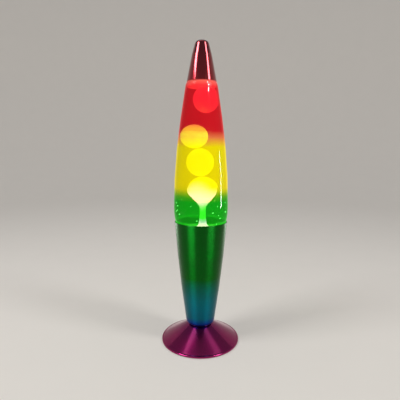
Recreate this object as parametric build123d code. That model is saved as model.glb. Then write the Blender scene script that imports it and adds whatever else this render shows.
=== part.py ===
from build123d import *
import os
from math import asin, atan2, cos, degrees, hypot, pi, radians, sin, sqrt, tan

# A liquid motion lamp: a spun foot and cup, a reflector bulb, a lift-out bottle of wax and liquid, and a
# cap. Sizes are in millimetres. The origin is on the table, on the lamp's axis, and the cord leaves at +Y.

# Clearances
seat_gap = 0.15       # between a piece that lifts off and its seat
thread_gap = 0.05     # round a thread, between the radii
insert_gap = 0.1      # round a piece that sits in another
plate_gap = 0.2       # round the bottom plate in the foot's rim
film_gap = 0.25       # between wax, liquid and glass

# Foot: a spun cone with a flat land on top and a lip turned down at the rim
pad_height = 1.0
pad_radius = 5.0
pad_from_rim = 10.5    # of the pads' circle inside the foot's rim
pad_count = 3
foot_wall = 1.0
foot_rim_radius = 55.5
foot_lip_width = 2.5
foot_lip_height = 2.0
foot_lip_fall = 0.4
foot_cone_height = 21.4
foot_land_radius = 17.2
foot_bend = 0.6
plate_wall = 0.8
vent_count = 8
vent_length = 12.0
vent_width = 3.0
vent_from_rim = 28.5
lug_from_rim = 12.5
lug_width = 8.0
lug_depth = 7.0
plate_screw_radius = 1.5
plate_screw_length = 5.0
screw_head_radius = 2.6
screw_head_height = 0.7

# Grommet in the foot's back, which the cord comes out of
grommet_from_rim = 15.5
grommet_bore = 3.1
grommet_neck = 4.5
grommet_flange = 5.6
grommet_flange_height = 1.5
grommet_flange_gap = 0.25

# Cup: a spun tapered cup, its wall bowed a little
cup_wall = 1.0
cup_height = 149.2
cup_rim_radius = 36.5
cup_base_radius = 20.4
cup_base_height = 6.2
cup_bow = 1.3
cup_corner = 6.0

# Threaded tube and the nuts that clamp the foot, the cup and the holder together
tube_radius = 5.0
tube_bore = 3.6
tube_below = 5.5
tube_above = 10.0
nut_flats = 14.0
nut_height = 3.0
washer_radius = 9.0
washer_height = 0.8

# Lamp holder
holder_radius = 13.5
holder_floor = 4.0
holder_height = 13.0
holder_step_height = 3.0
holder_step_radius = 10.0
holder_wall = 2.0
core_height = 5.0
spigot_height = 1.5
sleeve_height = 17.0
sleeve_wall_radius = 8.1
shell_radius = 7.05
shell_wall = 0.4
contact_leaf_radius = 5.6
contact_leaf_height = 0.5
contact_tongue_rise = 1.2
contact_tongue_width = 4.0
terminal_circle = 7.6
terminal_screw_radius = 1.2
terminal_head_radius = 2.0
terminal_head_height = 1.6
terminal_screw_depth = 3.5

# Reflector bulb with a small screw cap
bulb_length = 66.0
bulb_radius = 19.5
bulb_face_radius = 16.5
bulb_face_fall = 1.2
bulb_face_corner = 6.5
bulb_band_height = 3.0
bulb_neck_radius = 8.6
bulb_neck_height = 28.0
bulb_stem_radius = 6.3
bulb_glass_wall = 0.7
bulb_bend = 3.0
bulb_neck_bend = 1.0
bulb_cap_radius = 6.95
bulb_cap_wall = 0.4
bulb_cap_height = 16.5
bulb_insulator_height = 3.0
bulb_tip_radius = 2.4
bulb_tip_height = 0.9
bulb_seal_radius = 2.2
bulb_seal_height = 14.0
lead_radius = 0.45
lead_spread = 7.5
lead_rise = 14.0
filament_radius = 0.4
filament_sag = 4.0

# Bottle: a tapered bottle whose widest place is just above the cup
glass_wall = 2.0
bottle_bottom_height = 95.2   # of the bottle's bottom above the cup's floor
bottle_corner = 7.0
belly_radius = 37.4
belly_above_rim = 19.0
upper_arc_radius = 790.0
upper_taper = 8.8             # degrees from upright
shoulder_above_belly = 162.2
shoulder_radius = 9.34
neck_radius = 12.3
neck_fillet = 1.5
neck_height = 8.0             # of the mouth above the shoulder
finish_radius = 13.3
finish_height = 4.6

# Crown closure and its liner
flute_count = 21
crown_radius = 16.05
flute_depth = 0.9
crown_top_radius = 13.75
crown_wall = 0.45
crown_skirt = 5.2
liner_height = 0.6

# Wax and liquid
fill_below_shoulder = 3.0
wax_top_depth = 16.0
hanging_blob_radius = 17.6
hanging_blob_offset = 6.0
hanging_blob_depth = 22.5
side_blob_half_width = 18.9
side_blob_half_height = 15.9
side_blob_edge = 14.0         # radius at the blob's widest
side_blob_offset = -9.8
side_blob_above_belly = 97.3
middle_blob_radius = 19.0
middle_blob_offset = -1.5
middle_blob_above_belly = 62.5
drop_half_width = 20.6
drop_top_height = 15.8
drop_edge = 12.0              # radius at the drop's widest
drop_above_belly = 27.3
drop_offset = 2.5
drop_flank_height = 7.0
drop_neck_fall = 25.0
stem_radius = 4.3
stem_height = 15.0
flare_radius = 7.2
flare_above_pool = 6.0
flare_foot_radius = 16.0
flare_sunk = 1.0
flank_bend = 12.0             # under the drop's widest, and where the drop runs into its stem
stem_foot_bend = 20.0
flare_bend = 5.0
pool_below_rim = 10.0

# Heating coil: a wire spring bent into a ring that lies in the wax on the bottle's bottom
coil_turns = 12
coil_wire_radius = 0.75
coil_loop_radius = 3.2
coil_ring_radius = 14.5
coil_break_angle = 24.0       # degrees of the ring between the coil's two ends
coil_clear = 0.3              # from the coil to the glass and to the wax round it

# Cap: a spun cone with a round nose, standing on the bottle's shoulder
cap_wall = 0.8
cap_radius = 20.14
cap_lower_height = 34.0
cap_waist_radius = 13.3
cap_nose_height = 17.6
cap_nose_radius = 8.4
cap_nose_dome = 0.9
cap_waist_bend = 40.0
cap_nose_bend = 5.2

# Circles and heights that follow
pad_circle = foot_rim_radius - pad_from_rim
vent_circle = foot_rim_radius - vent_from_rim
lug_circle = foot_rim_radius - lug_from_rim
grommet_circle = foot_rim_radius - grommet_from_rim
rim_z = pad_height
lip_z = rim_z + foot_lip_height
land_z = lip_z + foot_lip_fall + foot_cone_height
floor_z = land_z + cup_wall
cup_rim_z = land_z + cup_height
cone_slope = foot_cone_height / (foot_rim_radius - foot_lip_width - foot_land_radius)
holder_z = floor_z + washer_height + nut_height
core_z = holder_z + holder_floor + holder_step_height
core_top_z = core_z + core_height
sleeve_z = holder_z + holder_height
contact_z = core_top_z + contact_leaf_height + contact_tongue_rise
bulb_z = contact_z + seat_gap
bottle_z = floor_z + bottle_bottom_height
belly_z = cup_rim_z + belly_above_rim
shoulder_z = belly_z + shoulder_above_belly
mouth_z = shoulder_z + shoulder_radius + neck_height
pool_z = cup_rim_z - pool_below_rim
fill_z = shoulder_z + shoulder_radius - fill_below_shoulder


def turned(*edges):
    """A body turned about the lamp's axis from a closed half section drawn as (radius, height)."""
    return revolve(Plane.XZ * make_face(edges), axis=Axis.Z)


def turned_points(points):
    """A body turned from a half section with straight sides."""
    return turned(Polyline(*points, close=True))


def tube(outer, inner, low, high):
    """A plain tube or ring about the lamp's axis."""
    return turned_points([(inner, low), (outer, low), (outer, high), (inner, high)])


def disc(radius, low, high, at=(0, 0)):
    """A plain upright cylinder."""
    return Pos(at[0], at[1], low) * Cylinder(radius, high - low, align=(Align.CENTER, Align.CENTER, Align.MIN))


def beside(points, wall):
    """The points of a line that runs to the right of the given one, a wall away. A start on the axis stays there."""
    normals = []
    for (r0, z0), (r1, z1) in zip(points, points[1:]):
        length = hypot(r1 - r0, z1 - z0)
        normals.append(((z1 - z0) / length, (r0 - r1) / length))
    moved = []
    for i, (r, z) in enumerate(points):
        a, b = normals[max(i - 1, 0)], normals[min(i, len(normals) - 1)]
        share = wall / (1 + a[0] * b[0] + a[1] * b[1])
        moved.append((r + share * (a[0] + b[0]), z + share * (a[1] + b[1])))
    if points[0][0] == 0:
        moved[0] = (0, points[0][1] + wall / normals[0][1])
    return moved


def sheet(points, bends, wall):
    """A turned sheet: points run along its face, bends are its inside bend radii, the wall lies to the right."""
    face_radii, back_radii = [], []
    for (r0, z0), (r1, z1), (r2, z2), bend in zip(points, points[1:], points[2:], bends):
        turns_left = (r1 - r0) * (z2 - z1) - (z1 - z0) * (r2 - r1) > 0
        face_radii.append(bend if turns_left else bend + wall)
        back_radii.append(bend + wall if turns_left else bend)
    back_points = beside(points, wall)
    face = FilletPolyline(*points, radius=face_radii)
    back = FilletPolyline(*back_points, radius=back_radii)
    return turned(
        *face.edges(), Line(points[-1], back_points[-1]), *back.edges(), Line(back_points[0], points[0])
    )


def round_the_axis(piece, count, first=0.0):
    """Copies of a piece, evenly spaced round the lamp's axis."""
    return [Rot(0, 0, first + 360 * i / count) * piece for i in range(count)]


def hex_nut(low):
    blank = extrude(RegularPolygon(nut_flats / 2, 6, major_radius=False), nut_height)
    return Pos(0, 0, low) * blank - disc(tube_radius + thread_gap, low, low + nut_height)


def foot_face_points():
    lip_radius = foot_rim_radius - foot_lip_width
    hole = tube_radius + thread_gap
    return [
        (hole, land_z),
        (foot_land_radius, land_z),
        (lip_radius, lip_z + foot_lip_fall),
        (foot_rim_radius, lip_z),
        (foot_rim_radius, rim_z),
    ]


def cone_z(radius):
    """Height of the foot cone's outer face at a radius."""
    return land_z - (radius - foot_land_radius) * cone_slope


def grommet_place():
    """The grommet's frame: its origin on the cone's outer face at the back, its Z square to the cone."""
    slope = atan2(foot_cone_height, foot_rim_radius - foot_lip_width - foot_land_radius)
    return Plane(
        origin=(0, grommet_circle, cone_z(grommet_circle)), x_dir=(1, 0, 0), z_dir=(0, sin(slope), cos(slope))
    )


def foot_shell():
    shell = sheet(foot_face_points(), [foot_bend] * 3, foot_wall)
    hole = Cylinder(grommet_neck + thread_gap, 6 * foot_wall)
    return shell - grommet_place() * hole


def cord_grommet():
    outer = grommet_flange_gap + grommet_flange_height
    inner = outer + foot_wall
    low = -foot_wall - grommet_flange_gap - grommet_flange_height
    neck = Pos(0, 0, low) * Cylinder(grommet_neck, inner + outer, align=(Align.CENTER, Align.CENTER, Align.MIN))
    flanges = [
        Pos(0, 0, z) * Cylinder(grommet_flange, grommet_flange_height, align=(Align.CENTER, Align.CENTER, Align.MIN))
        for z in (low, grommet_flange_gap)
    ]
    return grommet_place() * (neck + flanges - Cylinder(grommet_bore, 2 * (inner + outer)))


def bottom_plate():
    radius = foot_rim_radius - foot_wall - plate_gap
    low = rim_z + insert_gap
    plate = disc(radius, low, low + plate_wall)
    vent = Pos(vent_circle, 0, low) * extrude(SlotOverall(vent_length, vent_width), plate_wall)
    hole = disc(plate_screw_radius + thread_gap, low, low + plate_wall, (lug_circle, 0))
    return plate - round_the_axis(vent, vent_count, 180 / vent_count) - round_the_axis(hole, pad_count, 30)


def foot_pads():
    pad = disc(pad_radius, 0, rim_z + insert_gap, (pad_circle, 0))
    return round_the_axis(pad, pad_count, 90)


def plate_lugs():
    """Three threaded lugs, welded inside the cone, that the bottom plate is screwed to."""
    low = rim_z + insert_gap + plate_wall
    top = cone_z(lug_circle - lug_depth)
    block = Pos(lug_circle, 0, low) * Box(
        lug_depth, lug_width, top - low, align=(Align.CENTER, Align.CENTER, Align.MIN)
    )
    inside = [(0, 0), *beside(foot_face_points(), foot_wall)[1:3], (foot_rim_radius - foot_lip_width, 0)]
    cavity = turned_points([inside[0], (0, inside[1][1]), *inside[1:]])
    hole = disc(plate_screw_radius + thread_gap, low, low + plate_screw_length - plate_wall, (lug_circle, 0))
    return round_the_axis(block & cavity - hole, pad_count, 30)


def plate_screws():
    head_top = rim_z + insert_gap
    head = disc(screw_head_radius, head_top - screw_head_height, head_top, (lug_circle, 0))
    shank = disc(plate_screw_radius, head_top, head_top + plate_screw_length - thread_gap, (lug_circle, 0))
    return round_the_axis(head + shank, pad_count, 30)


def cup_body(inset, top):
    """The cup's body of revolution, its outline moved inwards by inset and cut flat at top."""
    run, rise = cup_rim_radius - cup_base_radius, cup_height - cup_base_height
    chord = hypot(run, rise)
    radius = (chord ** 2 / 4 + cup_bow ** 2) / (2 * cup_bow)
    reach = radius - cup_bow
    middle = (cup_base_radius + run / 2, land_z + cup_base_height + rise / 2)
    centre = (middle[0] - reach * rise / chord, middle[1] + reach * run / chord)
    corner_z = land_z + cup_corner
    corner_r = centre[0] + sqrt((radius - cup_corner) ** 2 - (corner_z - centre[1]) ** 2)
    wall_start = degrees(asin((corner_z - centre[1]) / (radius - cup_corner)))
    wall_end = degrees(asin((top - centre[1]) / (radius - inset)))
    corner = CenterArc((corner_r, corner_z), cup_corner - inset, -90, 90 + wall_start)
    wall = CenterArc(centre, radius - inset, wall_start, wall_end - wall_start)
    return turned(
        Line((0, land_z + inset), corner @ 0), corner, wall, Line(wall @ 1, (0, top)), Line((0, top), (0, land_z + inset))
    )


def cup_shell():
    hollow = cup_body(cup_wall, cup_rim_z)
    return cup_body(0, cup_rim_z) - hollow - disc(tube_radius + thread_gap, land_z, floor_z)


def cup_rim_bore():
    """Radius of the cup's inside at its rim."""
    return cup_rim_radius - cup_wall


def threaded_tube():
    return tube(tube_radius, tube_bore, land_z - foot_wall - tube_below, floor_z + tube_above)


def tube_washers():
    bore = tube_radius + thread_gap
    under = land_z - foot_wall - washer_height
    return [tube(washer_radius, bore, z, z + washer_height) for z in (under, floor_z)]


def tube_nuts():
    return [hex_nut(land_z - foot_wall - washer_height - nut_height), hex_nut(floor_z + washer_height)]


def holder_base():
    """Moulded base: a threaded floor, a step that the core sits on and a rim that the sleeve screws to."""
    inner = holder_radius - holder_wall
    top = holder_z + holder_height
    return turned_points([
        (tube_radius + thread_gap, holder_z),
        (holder_radius, holder_z),
        (holder_radius, top),
        (inner, top),
        (inner, core_z),
        (holder_step_radius, core_z),
        (holder_step_radius, holder_z + holder_floor),
        (tube_radius + thread_gap, holder_z + holder_floor),
    ])


def terminal_places():
    return [(0, terminal_circle), (0, -terminal_circle)]


def holder_core():
    core = disc(holder_radius - holder_wall - insert_gap, core_z, core_top_z)
    for place in terminal_places():
        core -= disc(terminal_screw_radius + thread_gap, core_z, core_z + terminal_screw_depth, place)
    return core


def terminal_screws():
    return [
        disc(terminal_head_radius, core_z - terminal_head_height, core_z, place)
        + disc(terminal_screw_radius, core_z, core_z + terminal_screw_depth - thread_gap, place)
        for place in terminal_places()
    ]


def centre_contact():
    """A round leaf on the core with a raised tongue that meets the bulb's tip."""
    leaf_top = core_top_z + contact_leaf_height
    rise = contact_tongue_rise / 2
    half = contact_tongue_width / 2
    riser = Pos(0, 0, leaf_top + rise / 2) * Box(contact_tongue_width, contact_tongue_width, rise)
    tongue = Pos(half, 0, leaf_top + 1.5 * rise) * Box(2 * contact_tongue_width, contact_tongue_width, rise)
    return disc(contact_leaf_radius, core_top_z, leaf_top) + riser + tongue


def holder_shell():
    """Brass shell that the bulb screws into, with a foot flange on the core."""
    outer = shell_radius + shell_wall
    return tube(outer, shell_radius, core_top_z, sleeve_z + sleeve_height - 2 * shell_wall)


def holder_sleeve():
    """Moulded sleeve: a spigot holds the core down, the bore carries the shell."""
    spigot = holder_radius - holder_wall - insert_gap
    top = sleeve_z + sleeve_height
    return turned_points([
        (sleeve_wall_radius, core_top_z + insert_gap),
        (spigot, core_top_z + insert_gap),
        (spigot, sleeve_z),
        (holder_radius, sleeve_z),
        (holder_radius, top - 1),
        (holder_radius - 1, top),
        (sleeve_wall_radius, top),
    ])


def bulb_glass():
    top = bulb_z + bulb_length
    points = [
        (0, top),
        (bulb_face_radius, top - bulb_face_fall),
        (bulb_radius, top - bulb_face_corner),
        (bulb_radius, top - bulb_face_corner - bulb_band_height),
        (bulb_neck_radius, bulb_z + bulb_neck_height),
        (bulb_stem_radius, bulb_z + bulb_neck_height - bulb_bend),
        (bulb_stem_radius, bulb_z + bulb_insulator_height + bulb_bend),
    ]
    return sheet(points, [bulb_bend] * 4 + [bulb_neck_bend], bulb_glass_wall)


def bulb_cap():
    low = bulb_z + bulb_insulator_height
    return tube(bulb_cap_radius, bulb_cap_radius - bulb_cap_wall, low, low + bulb_cap_height)


def bulb_insulator():
    low = bulb_z + bulb_tip_height / 2
    high = bulb_z + bulb_insulator_height
    inner = bulb_cap_radius - bulb_cap_wall
    return turned_points([
        (bulb_tip_radius, low),
        (bulb_tip_radius + 1, low),
        (inner, high - 0.5),
        (inner, high + 1.5),
        (bulb_tip_radius, high + 1.5),
    ])


def bulb_tip():
    rim = bulb_z + bulb_tip_height / 2
    return turned(
        Line((0, rim + 1.5), (0, bulb_z)),
        ThreePointArc((0, bulb_z), (bulb_tip_radius * 0.6, bulb_z + bulb_tip_height * 0.12), (bulb_tip_radius, rim)),
        Line((bulb_tip_radius, rim), (bulb_tip_radius, rim + 1.5)),
        Line((bulb_tip_radius, rim + 1.5), (0, rim + 1.5)),
    )


def seal_low_z():
    return bulb_z + bulb_insulator_height + bulb_bend


def seal_top_z():
    return seal_low_z() + bulb_seal_height


def bulb_seal():
    """The stem that carries the leads: a flare closed into the neck, drawn up to a pinch."""
    low = seal_low_z()
    flare = bulb_stem_radius - bulb_glass_wall - thread_gap
    return turned_points([
        (0, low), (flare, low), (flare, low + 1), (bulb_seal_radius, low + bulb_seal_height / 2),
        (bulb_seal_radius, seal_top_z()), (0, seal_top_z()),
    ])


def lead_top(side):
    return Vector(side * lead_spread, 0, seal_top_z() + lead_rise)


def wire(path, radius):
    return sweep(path.edges()[0].location_at(0) * Circle(radius), path=path)


def bulb_leads():
    spring = bulb_seal_radius / 2
    return [
        wire(Line((side * spring, 0, seal_top_z() + lead_radius / 2), lead_top(side)), lead_radius)
        for side in (-1, 1)
    ]


def filament():
    left, right = lead_top(-1), lead_top(1)
    rise = Vector(0, 0, lead_radius / 2 + filament_radius)
    path = ThreePointArc(left + rise, (0, 0, left.Z + rise.Z + filament_sag), right + rise)
    return wire(path, filament_radius)


def bottle_centres():
    """Centres and radii of the arcs that the bottle's outline is made of."""
    drop = belly_radius - (cup_rim_bore() - seat_gap)
    lower = (belly_above_rim ** 2 + drop ** 2) / (2 * drop)
    lower_taper = asin(belly_above_rim / lower)
    upper = radians(upper_taper)
    corner_z = bottle_z + bottle_corner
    line = (belly_radius - lower) * cos(lower_taper) - belly_z * sin(lower_taper) + lower - bottle_corner
    corner_r = (line + corner_z * sin(lower_taper)) / cos(lower_taper)
    line = (belly_radius - upper_arc_radius) * cos(upper) + belly_z * sin(upper) + upper_arc_radius
    shoulder_r = (line - shoulder_radius - shoulder_z * sin(upper)) / cos(upper)
    fillet_r = neck_radius + neck_fillet
    reach = shoulder_radius + neck_fillet
    fillet_z = shoulder_z + sqrt(reach ** 2 - (fillet_r - shoulder_r) ** 2)
    return lower, lower_taper, (corner_r, corner_z), (shoulder_r, shoulder_z), (fillet_r, fillet_z)


def bottle_body(inset, top):
    """The bottle's body of revolution, its outline moved inwards by inset, its neck cut flat at top."""
    lower, taper, corner_at, shoulder_at, fillet_at = bottle_centres()
    taper = degrees(taper)
    turn = degrees(atan2(fillet_at[1] - shoulder_at[1], fillet_at[0] - shoulder_at[0]))
    corner = CenterArc(corner_at, bottle_corner - inset, -90, 90 - taper)
    belly = CenterArc((belly_radius - lower, belly_z), lower - inset, -taper, taper)
    side = CenterArc((belly_radius - upper_arc_radius, belly_z), upper_arc_radius - inset, 0, upper_taper)
    shoulder = CenterArc(shoulder_at, shoulder_radius - inset, upper_taper, turn - upper_taper)
    neck = CenterArc(fillet_at, neck_fillet + inset, turn - 180, -turn)
    bottom = (0, bottle_z + inset)
    mouth = (neck_radius - inset, top)
    return turned(
        Line(bottom, corner @ 0), corner, Line(corner @ 1, belly @ 0), belly, side,
        Line(side @ 1, shoulder @ 0), shoulder, neck, Line(neck @ 1, mouth), Line(mouth, (0, top)), Line((0, top), bottom),
    )


def bottle_glass():
    lip = finish_radius - neck_radius
    band = turned_points([
        (neck_radius - glass_wall / 2, mouth_z - finish_height),
        (neck_radius, mouth_z - finish_height),
        (finish_radius, mouth_z - finish_height + lip),
        (finish_radius, mouth_z - lip),
        (neck_radius, mouth_z),
        (neck_radius - glass_wall / 2, mouth_z),
    ])
    return bottle_body(0, mouth_z) + band - bottle_body(glass_wall, mouth_z)


def fluted_ring(radius, depth, z):
    """A closed outline of equal lobes about the lamp's axis."""
    lobes = []
    for i in range(flute_count):
        a, b, c = ((i + share) * 2 * pi / flute_count for share in (0, 0.5, 1))
        valley = radius - depth
        lobes.append(ThreePointArc(
            (valley * cos(a), valley * sin(a), z), (radius * cos(b), radius * sin(b), z), (valley * cos(c), valley * sin(c), z)
        ))
    return Face(Wire(lobes))


def crown_skin(inset, top):
    """The crown's body: round at the top, fluted at the skirt's edge."""
    low = mouth_z + liner_height + crown_wall - crown_skirt
    rings = [fluted_ring(crown_radius - inset, flute_depth, low), fluted_ring(crown_top_radius - inset, 0.0, top)]
    return loft(rings, ruled=True)


def crown_closure():
    top = mouth_z + liner_height + crown_wall
    return crown_skin(0, top) - crown_skin(crown_wall, top - crown_wall)


def closure_liner():
    return disc(crown_top_radius - crown_wall - insert_gap, mouth_z, mouth_z + liner_height)


def slab(low, high):
    """Everything between two heights, for cutting what fills the bottle."""
    return disc(2 * belly_radius, low, high)


def wax_top(grow=0.0):
    """Wax gathered under the shoulder, with a blob that hangs from it."""
    inside = bottle_body(glass_wall + film_gap - grow, mouth_z)
    hanging = Pos(hanging_blob_offset, 0, fill_z - hanging_blob_depth) * Sphere(hanging_blob_radius + grow)
    gathered = slab(fill_z - wax_top_depth - grow, fill_z)
    return inside & (gathered + (hanging & slab(0, fill_z)))


def oval(half_width, half_height, edge, z):
    """The upper right quarter of an oval about (0, z), as two arcs, from its widest place to its top."""
    reach = half_width - edge
    crown = (reach ** 2 + half_height ** 2 - edge ** 2) / (2 * (half_height - edge))
    turn = degrees(atan2(crown - half_height, reach))
    return CenterArc((reach, z), edge, 0, turn), CenterArc((0, z + half_height - crown), crown, turn, 90 - turn)


def side_blob(grow=0.0):
    upper = oval(side_blob_half_width + grow, side_blob_half_height + grow, side_blob_edge + grow, 0)
    lower = [mirror(arc, about=Plane.XZ) for arc in upper]
    top, bottom = upper[1] @ 1, (0, -side_blob_half_height - grow)
    return Pos(side_blob_offset, 0, belly_z + side_blob_above_belly) * turned(*upper, *lower, Line(top, bottom))


def middle_blob(grow=0.0):
    return Pos(middle_blob_offset, 0, belly_z + middle_blob_above_belly) * Sphere(middle_blob_radius + grow)


def wax_column(grow=0.0):
    """The pool on the bottle's bottom, a stem that rises from it and the drop about to leave the stem."""
    drop_z = belly_z + drop_above_belly
    neck_z = drop_z - drop_neck_fall
    edge, crown = oval(drop_half_width + grow, drop_top_height + grow, drop_edge + grow, drop_z)
    flank = FilletPolyline(
        edge @ 0,
        (drop_half_width + grow, drop_z - drop_flank_height),
        (stem_radius + grow, neck_z),
        (stem_radius + grow, neck_z - stem_height),
        (flare_radius + grow, pool_z + flare_above_pool),
        (flare_foot_radius + grow, pool_z - flare_sunk),
        radius=(flank_bend + grow, flank_bend, stem_foot_bend, flare_bend),
    )
    foot = (0, pool_z - flare_sunk)
    rising = turned(edge, crown, *flank.edges(), Line(flank @ 1, foot), Line(foot, crown @ 1))
    pool = bottle_body(glass_wall + film_gap - grow, mouth_z) & slab(0, pool_z + grow)
    return Pos(drop_offset, 0, 0) * rising + pool


def coil_z():
    return bottle_z + glass_wall + coil_clear + coil_loop_radius + coil_wire_radius


def coil_channel():
    """The ring of space that the coil takes up in the wax's underside."""
    reach = coil_loop_radius + coil_wire_radius + coil_clear
    return tube(coil_ring_radius + reach, coil_ring_radius - reach, bottle_z, coil_z() + reach)


def coil_point(turn):
    """A point of the coil's line, and its direction, after so many turns."""
    span = 2 * pi - radians(coil_break_angle)
    around, along = turn * span / coil_turns, 2 * pi * turn
    reach = coil_ring_radius + coil_loop_radius * cos(along)
    place = Vector(reach * cos(around), reach * sin(around), coil_z() + coil_loop_radius * sin(along))
    grow, climb = -coil_loop_radius * sin(along) * 2 * pi, coil_loop_radius * cos(along) * 2 * pi
    turning = span / coil_turns
    heading = Vector(
        grow * cos(around) - reach * sin(around) * turning, grow * sin(around) + reach * cos(around) * turning, climb
    )
    return place, heading.normalized()


def biarc(start, start_way, end, end_way):
    """Two arcs that meet smoothly between two points with given directions."""
    span, both, bend = end - start, start_way + end_way, 1 - start_way.dot(end_way)
    along = span.dot(both)
    reach = (sqrt(along ** 2 + 2 * bend * span.dot(span)) - along) / (2 * bend)
    first, second = start + start_way * reach, end - end_way * reach
    middle = (first + second) * 0.5
    return [TangentArc(start, middle, tangent=start_way), TangentArc(middle, end, tangent=(second - first).normalized())]


def heating_coil():
    steps = [coil_point(i / 4) for i in range(4 * coil_turns + 1)]
    arcs = []
    for (start, start_way), (end, end_way) in zip(steps, steps[1:]):
        arcs += biarc(start, start_way, end, end_way)
    path = Wire([edge for arc in arcs for edge in arc.edges()])
    start, start_way = steps[0]
    section = Plane(origin=start, z_dir=start_way) * Circle(coil_wire_radius)
    points = [coil_point(i / 24)[0] for i in range(24 * coil_turns + 1)]
    nearest = min((points[i] - points[j]).length for i in range(len(points)) for j in range(i + 16, len(points)))
    print("heating coil: least gap between turns", round(nearest - 2 * coil_wire_radius, 2), "mm")
    return sweep(section, path=path)


def liquid():
    """Clear liquid that fills what the wax leaves, up to the fill level."""
    inside = bottle_body(glass_wall + film_gap, mouth_z) & slab(0, fill_z)
    for wax in (wax_column, middle_blob, side_blob, wax_top):
        inside -= wax(film_gap)
    return inside


def cap_rim_z():
    """Height of the cap's rim, whose inner edge stands a seat gap off the bottle's shoulder."""
    widening = cap_radius - cap_waist_radius
    slant = hypot(widening, cap_lower_height)
    inner_r = cap_radius - cap_wall * cap_lower_height / slant
    inner_fall = cap_wall * widening / slant
    reach = shoulder_radius + seat_gap
    return shoulder_z + sqrt(reach ** 2 - (inner_r - bottle_centres()[3][0]) ** 2) + inner_fall


def cap_shell():
    rim = cap_rim_z()
    waist = rim + cap_lower_height
    nose = waist + cap_nose_height
    points = [(0, nose + cap_nose_dome), (cap_nose_radius, nose), (cap_waist_radius, waist), (cap_radius, rim)]
    return sheet(points, [cap_nose_bend, cap_waist_bend], cap_wall)


nodes = {
    "foot_shell": foot_shell,
    "bottom_plate": bottom_plate,
    "plate_lugs": plate_lugs,
    "plate_screws": plate_screws,
    "foot_pads": foot_pads,
    "cord_grommet": cord_grommet,
    "cup_shell": cup_shell,
    "threaded_tube": threaded_tube,
    "tube_washers": tube_washers,
    "tube_nuts": tube_nuts,
    "holder_base": holder_base,
    "holder_core": holder_core,
    "terminal_screws": terminal_screws,
    "centre_contact": centre_contact,
    "holder_shell": holder_shell,
    "holder_sleeve": holder_sleeve,
    "bulb_glass": bulb_glass,
    "bulb_cap": bulb_cap,
    "bulb_insulator": bulb_insulator,
    "bulb_tip": bulb_tip,
    "bulb_seal": bulb_seal,
    "bulb_leads": bulb_leads,
    "bulb_filament": filament,
    "bottle_glass": bottle_glass,
    "crown_closure": crown_closure,
    "closure_liner": closure_liner,
    "liquid": liquid,
    "wax_top": wax_top,
    "wax_column": lambda: wax_column() - coil_channel(),
    "heating_coil": heating_coil,
    "side_blob": side_blob,
    "middle_blob": middle_blob,
    "cap_shell": cap_shell,
}

os.makedirs("parts", exist_ok=True)
for name, make in nodes.items():
    solids = make()
    shape = Compound(children=list(solids)) if isinstance(solids, (list, ShapeList)) else solids
    shape.label = name
    export_step(shape, f"parts/{name}.step")
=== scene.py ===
from math import asin, atan2, ceil, cos, degrees, hypot, pi, radians, sin, sqrt, tan

import bmesh
import bpy
from mathutils import Matrix, Vector


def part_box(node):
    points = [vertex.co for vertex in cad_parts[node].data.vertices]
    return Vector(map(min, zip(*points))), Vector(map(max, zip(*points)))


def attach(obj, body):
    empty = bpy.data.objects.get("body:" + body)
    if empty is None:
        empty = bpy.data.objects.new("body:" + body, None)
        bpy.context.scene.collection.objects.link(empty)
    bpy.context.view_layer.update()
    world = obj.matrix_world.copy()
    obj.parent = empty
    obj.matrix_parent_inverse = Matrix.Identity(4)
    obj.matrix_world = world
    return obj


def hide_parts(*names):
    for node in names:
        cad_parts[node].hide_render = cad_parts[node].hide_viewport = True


bl_info = {
    "name": "Liquid motion lamp",
    "version": (1, 0, 0),
    "blender": (4, 5, 0),
    "location": "3D View > Sidebar > Lamp",
    "description": "Builds the looks of a liquid motion lamp round its CAD frame",
    "category": "Object",
}

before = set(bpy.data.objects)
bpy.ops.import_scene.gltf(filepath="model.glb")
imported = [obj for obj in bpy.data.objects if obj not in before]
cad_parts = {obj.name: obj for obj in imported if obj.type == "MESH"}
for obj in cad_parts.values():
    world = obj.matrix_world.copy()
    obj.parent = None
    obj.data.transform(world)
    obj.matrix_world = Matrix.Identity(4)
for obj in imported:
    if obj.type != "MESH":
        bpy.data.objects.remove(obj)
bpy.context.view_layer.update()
MM = 0.001

# How finely shapes are drawn
ARC_STEP = 5
LINE_STEP = 4 * MM
PROFILE_STEP = 3 * MM
SEGMENTS = 160
WIDE_SEGMENTS = 192
SMALL_SEGMENTS = 48
HOLE_SEGMENTS = 64
THREAD_SEGMENTS = 96
THREAD_ROWS = 12
# Points nearer than this are one point, and edges shorter than the second are none.
MERGE = 1e-7
SLIVER = 1e-8
# An edge is drawn sharp where its faces turn by more degrees than this.
CREASE = 32


def low(name):
    """The lowest corner of a CAD node's box."""
    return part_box(name)[0]


def high(name):
    """The highest corner of a CAD node's box."""
    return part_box(name)[1]


# Settings


def linear(value):
    return value / 12.92 if value <= 0.04045 else ((value + 0.055) / 1.055) ** 2.4


def colour(text):
    """Linear RGB of a colour written as sRGB hex."""
    return tuple(linear(int(text[i:i + 2], 16) / 255) for i in (1, 3, 5))


def length(name, description, metres):
    return bpy.props.FloatProperty(
        name=name, description=description, default=metres, min=0.0, unit="LENGTH", subtype="DISTANCE",
        precision=5,
    )


def angle(name, description, turn):
    return bpy.props.FloatProperty(
        name=name, description=description, default=radians(turn), unit="ROTATION", subtype="ANGLE"
    )


def paint(name, description, text):
    return bpy.props.FloatVectorProperty(
        name=name, description=description, default=colour(text), size=3, min=0.0, max=1.0, subtype="COLOR"
    )


def factor(name, description, value):
    return bpy.props.FloatProperty(
        name=name, description=description, default=value, min=0.0, max=1.0, subtype="FACTOR"
    )


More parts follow.
